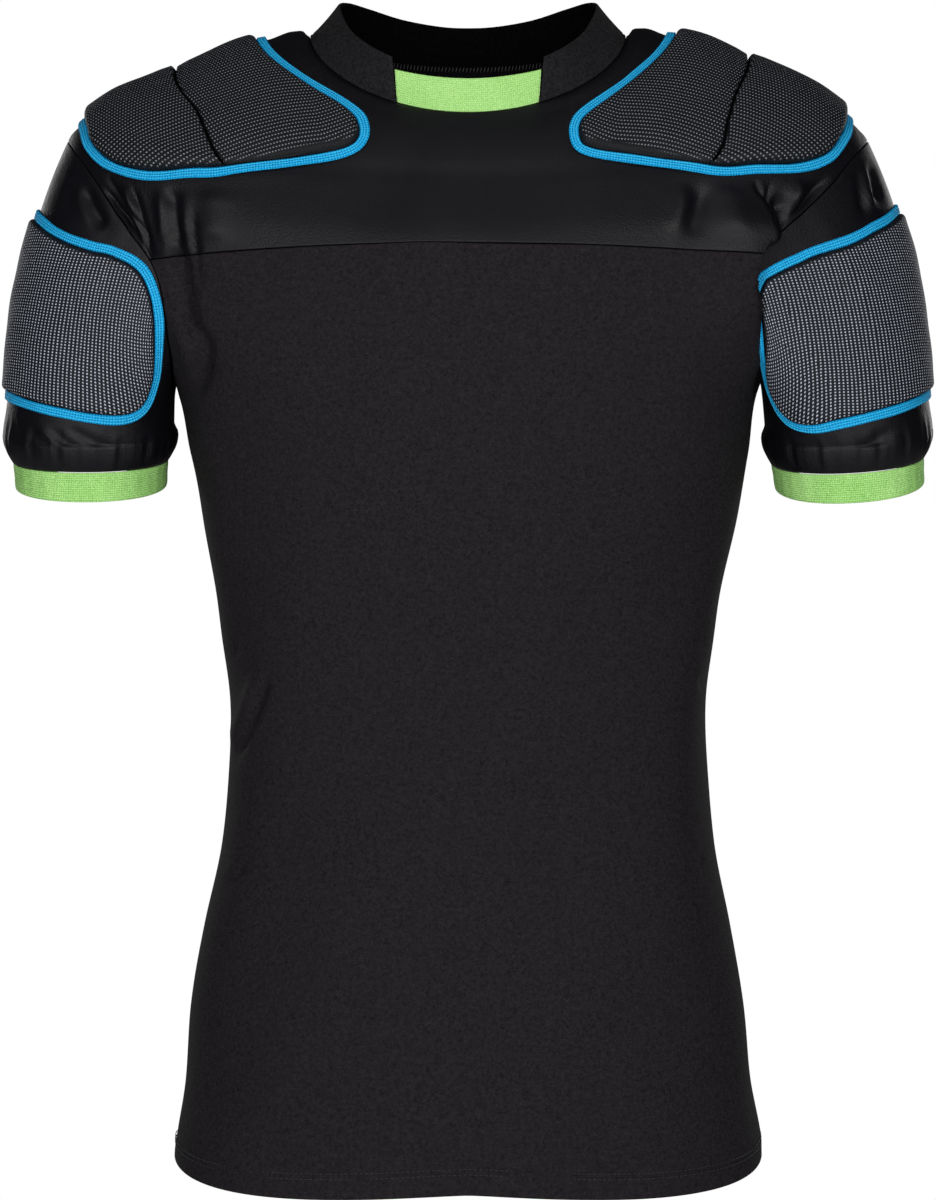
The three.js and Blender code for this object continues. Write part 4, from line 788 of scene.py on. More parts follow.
def elastic_material(name, dark, mid, light):
    """Woven elastic: fine ribs round the arm, short weft floats across them."""
    m = Nodes(name)
    _, u, v = m.uv()
    rib = m.math("SINE", m.math("MULTIPLY", v, 2 * math.pi / 1.35))
    warp = m.math("SINE", m.math("ADD", m.math("MULTIPLY", u, 2 * math.pi / 1.15), m.math("MULTIPLY", rib, 0.9)))
    place = m.object_place()
    grain = m.noise(place, 900.0, 2.0)
    broad = m.noise(place, 45.0, 2.0)
    tone = m.math("ADD", m.math("MULTIPLY", rib, 0.14), m.math("MULTIPLY", warp, 0.13))
    tone = m.math("ADD", m.math("ADD", tone, 0.5), m.math("MULTIPLY", m.math("SUBTRACT", grain, 0.5), 0.6))
    tone = m.math("ADD", tone, m.math("MULTIPLY", m.math("SUBTRACT", broad, 0.5), 0.35))
    m.link(m.ramp(tone, [(0.1, dark), (0.45, mid), (0.8, light)]), m.shader.inputs["Base Color"])
    height = m.math("ADD", m.math("MULTIPLY", rib, 0.55), m.math("MULTIPLY", warp, 0.45))
    m.link(m.bump(height, 0.0003, 0.7), m.shader.inputs["Normal"])
    m.set(Roughness=0.75)
    m.shader.inputs["Specular IOR Level"].default_value = 0.2
    return m.material


def thread_material(name, color, rough=0.5):
    m = Nodes(name)
    grain = m.noise(m.object_place(), 2600.0, 2.0)
    m.link(m.ramp(grain, [(0.35, tuple(c * 0.6 for c in color)), (0.65, color)]), m.shader.inputs["Base Color"])
    m.link(m.bump(grain, 0.0002, 0.5), m.shader.inputs["Normal"])
    m.set(Roughness=rough)
    m.shader.inputs["Specular IOR Level"].default_value = 0.3
    return m.material


BODY = knit_material("body_knit", srgb(8, 6, 8), srgb(36, 32, 36), 0.86, sheen=0.0)
COLLAR = knit_material("collar_knit", srgb(8, 7, 9), srgb(36, 34, 37), 0.9, sheen=0.0)
# the collar's inner faces take a near-black copy of the collar knit with almost no specular reflection: painted shade
# inside the neck
COLLAR_INSIDE_PAINTED_SHADE = knit_material("collar_inside_painted_shade", srgb(2, 2, 3), srgb(9, 8, 10), 0.95, sheen=0.0)
COLLAR_INSIDE_PAINTED_SHADE.node_tree.nodes["Principled BSDF"].inputs["Specular IOR Level"].default_value = 0.02
LYCRA = lycra_material("shoulder_lycra", srgb(5, 4, 8), srgb(10, 9, 15), 0.47)
# the shoulder pads take the arm pads' dotted mesh with their own dot layout but a darker ground and darker dots:
# painted shade for their upward-facing tops
PAD_SHOULDER_SHADED = dotted_material("pad_mesh_shoulder_painted_shade", srgb(3, 4, 6), srgb(16, 18, 22), srgb(134, 138, 146), 1.9, 2.65, 0.46, 0.5)
PAD_ARM = dotted_material("pad_mesh_arm", srgb(5, 6, 10), srgb(20, 23, 30), srgb(182, 188, 200), 1.76, 2.65, 0.5, 0.6)
BINDING = binding_material("blue_binding", srgb(0, 94, 150), srgb(0, 152, 214), srgb(70, 196, 236))
ELASTIC = elastic_material("lime_elastic", srgb(98, 162, 66), srgb(150, 206, 112), srgb(188, 236, 150))
TAB = elastic_material("lime_tab", srgb(132, 190, 96), srgb(160, 214, 122), srgb(182, 228, 146))
BLACK_THREAD = thread_material("black_thread", srgb(44, 43, 47))
PALE_THREAD = thread_material("pale_thread", srgb(58, 58, 62))


# ------------------------------------------------------------------ pads: outlines on the cloth
def closed_loop(surface, knots, count):
    knots = np.array(knots, float)
    n = len(knots)
    fine = []
    for i in range(n):
        p0, p1, p2, p3 = knots[(i - 1) % n], knots[i], knots[(i + 1) % n], knots[(i + 2) % n]
        for k in range(12):
            u = k / 12
            fine.append(0.5 * (2 * p1 + (p2 - p0) * u + (2 * p0 - 5 * p1 + 4 * p2 - p3) * u * u + (3 * p1 - p0 - 3 * p2 + p3) * u**3))
    fine = np.array(fine)
    spots = surface(fine[:, 0], fine[:, 1])
    legs = np.linalg.norm(np.roll(spots, -1, 0) - spots, axis=1)
    lengths = np.concatenate([[0], np.cumsum(legs)])
    target = lengths[-1] * np.arange(count) / count
    ring = np.vstack([fine, fine[:1]])
    return np.stack([np.interp(target, lengths, ring[:, q]) for q in (0, 1)], -1), lengths[-1]


def shifted(surface, q, scale, d):
    e = (scale[0] * 1e-3, scale[1] * 1e-3)
    du = (surface(q[:, 0] + e[0], q[:, 1]) - surface(q[:, 0] - e[0], q[:, 1])) / (2 * e[0])
    dv = (surface(q[:, 0], q[:, 1] + e[1]) - surface(q[:, 0], q[:, 1] - e[1])) / (2 * e[1])
    a, b, c = (du * du).sum(-1), (du * dv).sum(-1), (dv * dv).sum(-1)
    det = a * c - b * b
    ud, vd = (du * d).sum(-1), (dv * d).sum(-1)
    return np.stack([q[:, 0] + (c * ud - b * vd) / det, q[:, 1] + (a * vd - b * ud) / det], -1)


class Outline:
    def __init__(self, surface, normal, scale, knots, heart, count):
        self.surface, self.normal, self.scale = surface, normal, scale
        self.path, self.length = closed_loop(surface, knots, count)
        spots = surface(self.path[:, 0], self.path[:, 1])
        along = unit(np.roll(spots, -1, 0) - np.roll(spots, 1, 0))
        self.across = unit(np.cross(normal(self.path[:, 0], self.path[:, 1]), along))
        centre = surface(np.array(heart[0]), np.array(heart[1]))
        self.turned = 1.0 if (self.across * (centre - spots)).sum() > 0 else -1.0
        self.spots = spots

    def side(self, distance):
        q = self.path
        step = distance / 3
        for _ in range(3):
            q = shifted(self.surface, q, self.scale, self.across * self.turned * step)
        return q


def binding_piece(name, outline, node, wobble):
    """The stitched elastic round a pad: a low rounded section with three ridges."""
    n = len(outline.path)
    across = [(-1.0, 0.02), (-1.0, 0.35), (-0.97, 0.62), (-0.88, 0.82), (-0.76, 0.92), (-0.6, 0.98), (-0.45, 0.90), (-0.3, 0.88), (-0.15, 0.95),
              (0.0, 1.0), (0.15, 0.95), (0.3, 0.88), (0.45, 0.90), (0.6, 0.98), (0.76, 0.92), (0.88, 0.82), (0.97, 0.62), (1.0, 0.35), (1.0, 0.02)]
    rows = []
    uv = []
    q = outline.path
    along = np.arange(n) / n * outline.length
    wide = 1 + 0.035 * np.sin(along / 17.0 + wobble) + 0.03 * np.sin(along / 6.1 + 2 * wobble)
    normal = outline.normal(q[:, 0], q[:, 1])
    for k, (a, h) in enumerate(across):
        line = outline.spots + outline.across * outline.turned * (-a * BINDING_WIDTH / 2 * wide[:, None])
        rows.append(line + normal * (PAD_LIFT + BINDING_THICK * h * (1 + 0.05 * np.sin(along / 9.0 + wobble))[:, None]))
        uv.append(np.stack([along, np.full(n, (a + 1) / 2)], -1))
    grid = np.array(rows)
    faces = [tuple(f) for f in grid_faces(len(rows), n, True).tolist()]
    top = (len(rows) - 1) * n
    for j in range(n):
        k = (j + 1) % n
        faces.append((top + j, j, k, top + k))
    return mesh_piece(name, grid.reshape(-1, 3), faces, BINDING, node, uv=np.array(uv).reshape(-1, 2), wrap=outline.length)


def chart(surface, us, vs, u0, v0):
    """Lengths along both directions of a surface, from the lines u0 and v0."""
    uu, vv = np.meshgrid(us, vs, indexing="ij")
    p = surface(uu, vv)
    du = np.vstack([np.zeros((1, len(vs))), np.cumsum(np.linalg.norm(np.diff(p, axis=0), axis=-1), 0)])
    dv = np.hstack([np.zeros((len(us), 1)), np.cumsum(np.linalg.norm(np.diff(p, axis=1), axis=-1), 1)])
    iu, iv = np.argmin(np.abs(us - u0)), np.argmin(np.abs(vs - v0))
    du -= du[iu][None, :]
    dv -= dv[:, iv][:, None]

    def at(q):
        fu = np.clip((q[:, 0] - us[0]) / (us[-1] - us[0]) * (len(us) - 1), 0, len(us) - 1.001)
        fv = np.clip((q[:, 1] - vs[0]) / (vs[-1] - vs[0]) * (len(vs) - 1), 0, len(vs) - 1.001)
        i, j = fu.astype(int), fv.astype(int)
        a, b = fu - i, fv - j
        out = []
        for g in (du, dv):
            out.append(g[i, j] * (1 - a) * (1 - b) + g[i + 1, j] * a * (1 - b) + g[i, j + 1] * (1 - a) * b + g[i + 1, j + 1] * a * b)
        return out

    return at


def straight_chart(surface, us, vs, slope):
    """Cloth laid over a shoulder: a is the distance along the shoulder's slope, b the length round it from its top."""
    uu, vv = np.meshgrid(us, vs, indexing="ij")
    p = surface(uu, vv)
    e = np.array([slope[0], 0.0, slope[1]])
    along = p @ e
    spots = np.linspace(along.min(), along.max(), 90)
    b = np.zeros((len(us), len(spots)))
    lines = []
    for i in range(len(us)):
        order = np.argsort(along[i])
        level = np.interp(spots, along[i][order], vs[order])
        lines.append(surface(np.full(len(spots), us[i]), level))
    lines = np.array(lines)
    b[1:] = np.cumsum(np.linalg.norm(np.diff(lines, axis=0), axis=-1), 0)
    mid = int(np.argmin(np.abs(us)))
    b -= b[mid][None, :]

    def at(q):
        a = surface(q[:, 0], q[:, 1]) @ e
        fu = np.clip((q[:, 0] - us[0]) / (us[-1] - us[0]) * (len(us) - 1), 0, len(us) - 1.001)
        fa = np.clip((a - spots[0]) / (spots[-1] - spots[0]) * (len(spots) - 1), 0, len(spots) - 1.001)
        i, j = fu.astype(int), fa.astype(int)
        s, r = fu - i, fa - j
        length = b[i, j] * (1 - s) * (1 - r) + b[i + 1, j] * s * (1 - r) + b[i, j + 1] * (1 - s) * r + b[i + 1, j + 1] * s * r
        return a, length

    return at


def pad_piece(name, surface, normal, near, far, thick, lay, node, material, across_steps, rim_radius, near_radius=None, twist=0.0, painted_shade_margin=None):
    """A foam pad between two edges that meet at both ends; its face drops in a rounded edge all round."""
    n = len(near)
    shares = np.concatenate([[0, 0.004, 0.012, 0.025, 0.045, 0.07], np.linspace(0.1, 0.9, across_steps), [0.93, 0.955, 0.975, 0.988, 0.996, 1]])
    q = near[:, None, :] + (far - near)[:, None, :] * shares[None, :, None]
    flat = q.reshape(-1, 2)
    base = surface(flat[:, 0], flat[:, 1])
    up = normal(flat[:, 0], flat[:, 1])
    distance = np.full(len(base), 1e9)
    rise = np.ones(len(base))
    for line, radius in ((near, near_radius or rim_radius), (far, rim_radius)):
        rim = surface(line[:, 0], line[:, 1])
        off = np.full(len(base), 1e9)
        for start in range(0, len(rim), 200):
            off = np.minimum(off, np.linalg.norm(base[:, None, :] - rim[None, start:start + 200, :], axis=-1).min(1))
        distance = np.minimum(distance, off * (rim_radius / radius))
        u = np.clip(off / radius, 0, 1)
        rise = np.minimum(rise, np.sqrt(np.maximum(1 - (1 - u) ** 2, 0)))
    crown = smooth(distance / 26.0)
    x, y, z = base.T
    wave = 0.22 * np.sin(x / 8.3 + z / 11.0) + 0.18 * np.sin(y / 6.1 - x / 13.0 + 1.0) + 0.12 * np.sin(z / 4.7 + y / 5.3)
    height = PAD_LIFT - 0.1 + thick * (0.10 + 0.78 * rise + 0.10 * crown) + wave * rise
    top = base + up * height[:, None]
    bottom = base + up * (PAD_LIFT - 0.25)
    cols = len(shares)
    ids = np.arange(n * cols).reshape(n, cols)
    points = np.vstack([top, bottom])
    # the end points and the rims are shared by both faces
    faces = [tuple(f) for f in grid_faces(n, cols, False).tolist()]
    faces += [tuple(f) for f in grid_faces(n, cols, False, n * cols, flip=True).tolist()]
    low = ids + n * cols
    for i in range(n - 1):
        faces.append((ids[i + 1, 0], ids[i, 0], low[i, 0], low[i + 1, 0]))
        faces.append((ids[i, -1], ids[i + 1, -1], low[i + 1, -1], low[i, -1]))
    key = np.round(points, 4)
    _, first, inverse = np.unique(key, axis=0, return_index=True, return_inverse=True)
    inverse = inverse.ravel()
    clean = []
    for f in faces:
        g = [int(inverse[i]) for i in f]
        g = [v for i, v in enumerate(g) if v != g[i - 1]]
        if len(set(g)) >= 3 and len(set(g)) == len(g):
            clean.append(tuple(g))
    points = points[first]
    a, b = lay(flat)
    a, b = a * math.cos(twist) - b * math.sin(twist), a * math.sin(twist) + b * math.cos(twist)
    uv = np.stack([a, b], -1)
    uv = np.vstack([uv, uv])[first]
    # the edge attribute is cut short where the dots are left off as painted shade
    edge = np.concatenate([distance if painted_shade_margin is None else distance - painted_shade_margin(flat), -np.ones(len(base)) * 9])[first]
    return mesh_piece(name, points, clean, material, node, uv=uv, attributes={"edge": edge})


def spaced(surface, line, count):
    spots = surface(line[:, 0], line[:, 1])
    lengths = np.concatenate([[0], np.cumsum(np.linalg.norm(np.diff(spots, axis=0), axis=1))])
    target = lengths[-1] * np.linspace(0, 1, count)
    return np.stack([np.interp(target, lengths, line[:, q]) for q in (0, 1)], -1)


STATIONS = int(560 * FINE) // 4 * 4
pad_rims = {"L": [], "R": []}      # outlines on the yoke, for the creases to stay clear of
for side in "LR":
    def on_torso(girth, level, side=side):
        return form(turn(side, girth), level)

    def torso_up(girth, level, side=side):
        return form_normal(turn(side, girth), level)

    col = 0 if side == "L" else 2
    knots = [(r[col] * RAD, r[col + 1]) for r in SHOULDER_OUTLINE]
    outline = Outline(on_torso, torso_up, (1, 100), knots, (20 * RAD, 672.0), STATIONS)
    pad_rims[side] = outline
    binding_piece(f"shoulder_binding_{side}_cloth", outline, f"shoulder_binding_{side}", 0.7 if side == "L" else 2.3)
    edge = outline.side(BINDING_WIDTH / 2 + BINDING_GAP * 0.6)
    slit = [(r[col] * RAD, r[col + 1]) for r in SHOULDER_SLIT]
    edge_spots = on_torso(edge[:, 0], edge[:, 1])

    def nearest(q):
        return int(np.argmin(np.linalg.norm(edge_spots - on_torso(np.array(q[0]), np.array(q[1])), axis=1)))

    front_foot, back_foot = nearest(slit[0]), nearest(slit[-1])
    around = lambda a, b: edge[(a + np.arange((b - a) % len(edge) + 1)) % len(edge)]
    slit_at = smooth_read([(i, g, lv) for i, (g, lv) in enumerate(slit)])
    fine_slit = slit_at(np.linspace(0, len(slit) - 1, 121))
    sg = outward(side)
    lays = {
        "inner": straight_chart(on_torso, np.linspace(-62, 84, 120) * RAD, np.linspace(560, 752, 90), (sg * math.cos(14 * RAD), -math.sin(14 * RAD))),
        "outer": straight_chart(on_torso, np.linspace(-62, 84, 120) * RAD, np.linspace(560, 752, 90), (sg * math.cos(30 * RAD), -math.sin(30 * RAD))),
    }
    for part in ("inner", "outer"):
        rim = around(front_foot, back_foot) if part == "outer" else around(back_foot, front_foot)[::-1]
        away = on_torso(*rim[len(rim) // 2])
        line = fine_slit.copy()
        line[0], line[-1] = rim[0], rim[-1]
        own = spaced(on_torso, line, len(rim))
        p = on_torso(own[:, 0], own[:, 1])
        along = np.gradient(p, axis=0)
        across = unit(np.cross(torso_up(own[:, 0], own[:, 1]), along))
        sign = np.where(dot(across, away - p) > 0, 1.0, -1.0)
        end = np.ones((len(own), 1))
        end[0], end[-1] = 0, 0
        near = shifted(on_torso, own, (1, 100), across * sign * GROOVE_HALF * 1.15 * end)
        rim = rim.copy()
        for i, j in ((0, 1), (-1, -2)):
            rim[i] = near[i] = mix(rim[i], rim[j], 0.5)

        # the dots are left off where the cover turns down to the binding, most at the lower inner corner: painted shade
        # on the rolled edge
        def painted_shade_margin(q, side=side, part=part):
            corner = np.array([(62.0 if side == "L" else 62.0) * RAD, 648.0])
            off = np.hypot((q[:, 0] - corner[0]) * 85, q[:, 1] - corner[1])
            return 4.0 * np.exp(-((off / 22.0) ** 2)) if part == "inner" else 0 * off

        pad_piece(f"shoulder_pad_{part}_{side}_foam", on_torso, torso_up, near, rim, SHOULDER_PAD_THICK[part],
                  lays[part], f"shoulder_pad_{part}_{side}", PAD_SHOULDER_SHADED, int(64 * FINE), 4.2, near_radius=1.7, painted_shade_margin=painted_shade_margin)

    def on_sleeve(rnd, share, side=side):
        return sleeve(side, rnd, share)

    def sleeve_up(rnd, share, side=side):
        return sleeve_normal(side, rnd, share)

    knots = [(r[col] * RAD, r[col + 1]) for r in BICEP_OUTLINE]
    heart = (BICEP_HEART[side][0] * RAD, BICEP_HEART[side][1])
    outline = Outline(on_sleeve, sleeve_up, (1, 1), knots, heart, STATIONS)
    pad_rims["sleeve_" + side] = outline
    binding_piece(f"bicep_binding_{side}_cloth", outline, f"bicep_binding_{side}", 1.4 if side == "L" else 3.9)
    pad = outline.side(BINDING_WIDTH / 2 + BINDING_GAP * 0.6)
    front_most = int(np.argmax(pad[:, 0]))
    half = len(pad) // 2
    arc = lambda way: pad[(front_most + way * np.arange(half + 1)) % len(pad)]
    near, far = arc(1).copy(), arc(-1).copy()
    lay = chart(on_sleeve, np.linspace(-110, 155, 100) * RAD, np.linspace(0.02, 0.95, 60), heart[0], heart[1])

    # dots left off along the top of the bicep pad: painted shade where its top turns away from the lamps
    def top_painted_shade(q, side=side):
        return 1.3 * smooth((0.33 - q[:, 1]) / 0.12) * smooth((q[:, 0] / RAD + 20) / 40) * smooth((100 - q[:, 0] / RAD) / 30)

    pad_piece(f"bicep_pad_{side}_foam", on_sleeve, sleeve_up, near, far, BICEP_PAD_THICK,
              lambda q: lay(q)[::-1], f"bicep_pad_{side}", PAD_ARM, int(100 * FINE), 3.4, painted_shade_margin=top_painted_shade)


# ------------------------------------------------------------------ torso panels
def clear_of(outline, points, reach=11.0):
    """0 under a pad and its binding, rising to 1 a little way off."""
    flat = points.reshape(-1, 3)
    rim = outline.spots[::2]
    far = np.full(len(flat), 1e9)
    near_i = np.zeros(len(flat), int)
    for start in range(0, len(rim), 140):
        part = rim[start:start + 140]
        d = np.linalg.norm(flat[:, None, :] - part[None, :, :], axis=-1)
        k = d.argmin(1)
        m = d[np.arange(len(flat)), k]
        better = m < far
        far = np.where(better, m, far)
        near_i = np.where(better, k + start, near_i)
    inward = (outline.across * outline.turned)[::2][near_i]
    inside = ((flat - rim[near_i]) * inward).sum(-1) > 0
    return np.where(inside, 0.0, smooth((far - 2.5) / reach)).reshape(points.shape[:-1])


def arm_rounds(a, b, count):
    return np.linspace(a, b, count) * RAD


def torso_columns(low, front, arm_count, middle_count):
    """Girth angle, seam level, armhole side and angle for each column of a torso piece."""
    a, b = (90, 180 if low else 0) if front else (270, 180 if low else 360)
    cols = []
    for r in arm_rounds(b, a, arm_count):
        theta, level = armhole("R", r)
        cols.append((float(theta), float(level), 1, float(r)))
    left = []
    for r in arm_rounds(a, b, arm_count):
        theta, level = armhole("L", r)
        left.append((float(theta), float(level), -1, float(r)))
    # every column lies further round than the one before it
    for line, way in ((cols, 1 if front else -1), (left[::-1], -1 if front else 1)):
        reach = None
        for k, (theta, level, sg, r) in enumerate(line):
            if reach is not None and (theta - reach) * way < 2e-5:
                theta = reach + 2e-5 * way
            reach = theta
            line[k] = (theta, level, sg, r)
        if line is not cols:
            left = line[::-1]
    start, stop = cols[-1][0], left[0][0]
    if not front:
        start += 2 * math.pi
    u = np.linspace(0, 1, middle_count + 2)[1:-1]
    for t in start + (stop - start) * (u - 0.72 * np.sin(2 * math.pi * u) / (2 * math.pi)):
        cols.append((float(t), YOKE_LEVEL, 0, 0.0))
    return cols + left


LAP_ROUNDS = np.linspace(58, 156, 240) * RAD
LAP_SEAM = form(*armhole("R", LAP_ROUNDS))


def lap(points):
    """Sideways move of the cloth in front of the right armhole, which folds over the start of the sleeve."""
    flat = points.reshape(-1, 3)
    out = np.zeros_like(flat)
    near = np.where((flat[:, 0] > 110) & (flat[:, 1] < -20) & (flat[:, 2] < -60) & (flat[:, 2] > -300))[0]
    if len(near):
        d = np.full(len(near), 1e9)
        k = np.zeros(len(near), int)
        for start in range(0, len(LAP_SEAM), 60):
            e = np.linalg.norm(flat[near][:, None, :] - LAP_SEAM[None, start:start + 60], axis=-1)
            j = e.argmin(1)
            m = e[np.arange(len(near)), j]
            k = np.where(m < d, j + start, k)
            d = np.minimum(d, m)
        around = LAP_ROUNDS[k] / RAD
        strength = smooth((around - 72) / 14) * (1 - 0.62 * smooth((around - 106) / 30)) * (1 - smooth((around - 140) / 18))
        shape = smooth(d / 3.6) * (1 - smooth((d - 6.0) / 36))
        out[near] = np.array([12.6, -4.0, 0.0]) * (strength * shape)[:, None]
    return out.reshape(points.shape)


def puff(theta, level):
    """The yoke stands up a little beside the collar, over the top of each shoulder."""
    over = 1 - np.abs(np.sin(theta)) ** 1.2
    tall = np.where(np.cos(theta) > 0, 4.6, 3.9)
    return tall * np.clip(over, 0, 1) * smooth((level - 735) / 15) * smooth((NECK_LEVEL - 0.2 - level) / 4.0)


def torso_panel(columns, steps, edge_level, seam_shift, thick, name, closed, side_rolls):
    """Outer and inner grid of a torso piece. steps: distances from the free edge, the last at the seam."""
    theta = np.array([c[0] for c in columns])
    level = np.array([c[1] for c in columns])
    side = np.array([c[2] for c in columns])
    rnd = np.array([c[3] for c in columns])
    seam = np.maximum(level, YOKE_LEVEL + seam_shift) if seam_shift > 0 else np.minimum(level, YOKE_LEVEL + seam_shift)
    length = np.abs(seam - edge_level)
    share = steps / steps[-1]
    lv = edge_level + (seam - edge_level)[None, :] * share[:, None]
    th = np.broadcast_to(theta[None, :], lv.shape)
    base = form(th, lv)
    up = form_normal(th, lv)
    from_seam = (1 - share)[:, None] * length[None, :]
    from_edge = share[:, None] * length[None, :]
    # creases
    rise = crease_height(name, base, up) + (wave_height(base) if name == "body" else wave_height(base, 0.45))
    near_arm = np.where(side[None, :] != 0, smooth(from_seam / 9.0) * 0.85 + 0.15, 1.0)
    hold = near_arm * (smooth(from_edge / 14.0) * 0.8 + 0.2)
    if name == "yoke":
        hold = hold * clear_of(pad_rims["L"], base) * clear_of(pad_rims["R"], base)
    rise = rise * hold
    # rounded edges at the seams
    drop = roll(from_seam, 0.9) * 0.8
    rise = rise - drop
    if name == "yoke":
        rise = rise + puff(th, lv)
    outer = base + up * rise[..., None] + lap(base)
    way = -up * thick
    for sg, key in ((1, "R"), (-1, "L")):
        mask = side == sg
        if not mask.any():
            continue
        inward, apart, depth1, _ = armhole_mitre(key, rnd[mask])
        w = smooth(1 - from_seam[:, mask] / 9.0)[..., None]
        outer[:, mask] += apart[None] * (SEAM_GAP / 2 + 0.03) * w
        w = smooth(1 - from_seam[:, mask] / 5.0)[..., None]
        way[:, mask] = mix(way[:, mask], inward[None] * thick * depth1[None], w)
    return outer, outer + way, th, lv, base


def sheet_area(points):
    """Area of a grid of points, in square metres."""
    a, b, c, d = points[:-1, :-1], points[1:, :-1], points[1:, 1:], points[:-1, 1:]
    one = np.linalg.norm(np.cross(b - a, c - a), axis=-1).sum() / 2
    two = np.linalg.norm(np.cross(c - a, d - a), axis=-1).sum() / 2
    return (one + two) * 1e-6


areas = {}


ARM_COUNT, MIDDLE_COUNT = int(46 * FINE), int(118 * FINE)
for front in (True, False):
    name = "front_body" if front else "back_body"
    columns = torso_columns(True, front, ARM_COUNT, MIDDLE_COUNT)
    gap = 0.0013 if front else -0.0013
    # the two columns at the side seams keep clear of the other panel
    first, last = list(columns[0]), list(columns[-1])
    first[0] += gap
    last[0] -= gap
    columns[0], columns[-1] = tuple(first), tuple(last)
    steps = edge_steps(541.0, 3.3 / FINE, first=(0.0, 0.25, 0.7, 1.3, 2.2, 4.0))
    outer, inner, th, lv, base = torso_panel(columns, steps, 0.0, -SEAM_GAP / 2 - 0.05, WALL["body"], "body", False, True)
    # hem: a turned double edge, a little thicker up to its stitching
    up = form_normal(th, lv)
    hem = smooth((15.6 - lv) / 1.4)
    inner = inner - up * (0.5 * hem)[..., None]
    outer = outer + up * (0.35 * hem - 0.45 * np.exp(-(((lv - 14.6) / 1.1) ** 2)) - 0.30 * np.exp(-(((lv - 11.6) / 0.8) ** 2)))[..., None]
    points, faces, pick = shell(outer, inner, False)
    girth_mm = np.concatenate([[0], np.cumsum(np.linalg.norm(np.diff(base[len(steps) // 2], axis=0), axis=-1))])
    uv = np.stack([np.broadcast_to(girth_mm[None, :], lv.shape), lv], -1).reshape(-1, 2)[pick]
    mesh_piece(name + "_cloth", points, faces, BODY, name, uv=uv)
    areas[name] = sheet_area(base)

# yoke
front_cols = torso_columns(False, True, ARM_COUNT, MIDDLE_COUNT + 20)
back_cols = torso_columns(False, False, ARM_COUNT, MIDDLE_COUNT)
back_right = back_cols[:ARM_COUNT]
back_left = back_cols[-ARM_COUNT:]
back_mid = back_cols[ARM_COUNT:-ARM_COUNT]
yoke_cols = front_cols + back_left[:-1][::-1] + back_mid[::-1] + back_right[1:][::-1]
steps = edge_steps(218.0, 2.2 / FINE)
outer, inner, th, lv, base = torso_panel(yoke_cols, steps, NECK_LEVEL, SEAM_GAP / 2 + 0.05, WALL["yoke"], "yoke", True, False)
inward, apart, depth1, depth2 = neck_mitre(th[0])
neck_w = smooth(1 - (NECK_LEVEL - lv[:, :1]) / 5.0)[..., None]
outer = outer + apart[None] * (SEAM_GAP / 2 + 0.03) * neck_w - form_normal(th, lv) * roll(NECK_LEVEL - lv, 0.8)[..., None] * 0.7
inner = mix(inner, outer + inward[None] * (WALL["yoke"] * depth1)[None], neck_w)
points, faces, pick = shell(outer, inner, True)
mid = len(steps) // 2
ring = np.linalg.norm(np.diff(np.vstack([base[mid], base[mid][:1]]), axis=0), axis=-1)
girth_mm = np.concatenate([[0], np.cumsum(ring)])[:-1]
uv = np.stack([np.broadcast_to(girth_mm[None, :], lv.shape), lv], -1).reshape(-1, 2)[pick]
mesh_piece("yoke_cloth", points, faces, LYCRA, "yoke", uv=uv, wrap=float(ring.sum()))
closed_base = np.concatenate([base, base[:, :1]], 1)
areas["yoke"] = sheet_area(closed_base)

# ------------------------------------------------------------------ collar and tab
end = COLLAR_END + 0.0008
thetas = np.linspace(math.pi - end, 2 * math.pi + end, int(240 * FINE))
shares = edge_steps(1.0, 0.035 / FINE, first=(0.0, 0.006, 0.016, 0.03, 0.05), last=(0.0, 0.006, 0.014, 0.026, 0.042, 0.06))
th, sh = np.meshgrid(thetas, shares)
base = collar_point(th, sh)
up = surface_normal(collar_point, th, sh)
tall = np.linalg.norm(collar_point(thetas, 1.0) - collar_point(thetas, 0.0), axis=-1)
girth_mm = np.concatenate([[0], np.cumsum(np.linalg.norm(np.diff(base[len(shares) // 2], axis=0), axis=-1))])
from_top = (1 - sh) * tall[None, :]
from_base = sh * tall[None, :]
from_end = np.minimum(girth_mm, girth_mm[-1] - girth_mm)[None, :] + 0 * sh
half = WALL["collar"] / 2
rounded = np.minimum(np.minimum(from_top, from_end), from_base + 0.4)
drop = half * (1 - np.sqrt(np.maximum(1 - (1 - np.clip(rounded / half, 0, 1)) ** 2, 0)))
swell = 0.35 * np.sin(girth_mm / 21.0)[None, :] + 0.25 * np.sin(girth_mm / 9.4 + 1)[None, :]
swell = swell * smooth(from_base / 8)
# the stitched line above the base seam
groove = 0.38 * np.exp(-(((from_base - 2.4) / 0.55) ** 2))
outer = base + up * (swell - drop - groove)[..., None]
inner = base - up * (WALL["collar"] - swell - drop)[..., None]
inward, apart, depth1, depth2 = neck_mitre(thetas)
w = smooth(1 - from_base / 4.0)[..., None]
outer = outer - apart[None] * (SEAM_GAP / 2 + 0.03) * w
inner = mix(inner, outer + inward[None] * (WALL["collar"] * np.minimum(depth2, 1.3))[None], w * 0.999)
points, faces, pick = shell(outer, inner, False)
uv = np.stack([np.broadcast_to(girth_mm[None, :], sh.shape), from_base], -1).reshape(-1, 2)[pick]
mesh_piece("collar_cloth", points, faces, COLLAR, "collar", uv=uv, inner_painted_shade=(COLLAR_INSIDE_PAINTED_SHADE, base.shape[0] * base.shape[1]))
areas["collar"] = sheet_area(base)

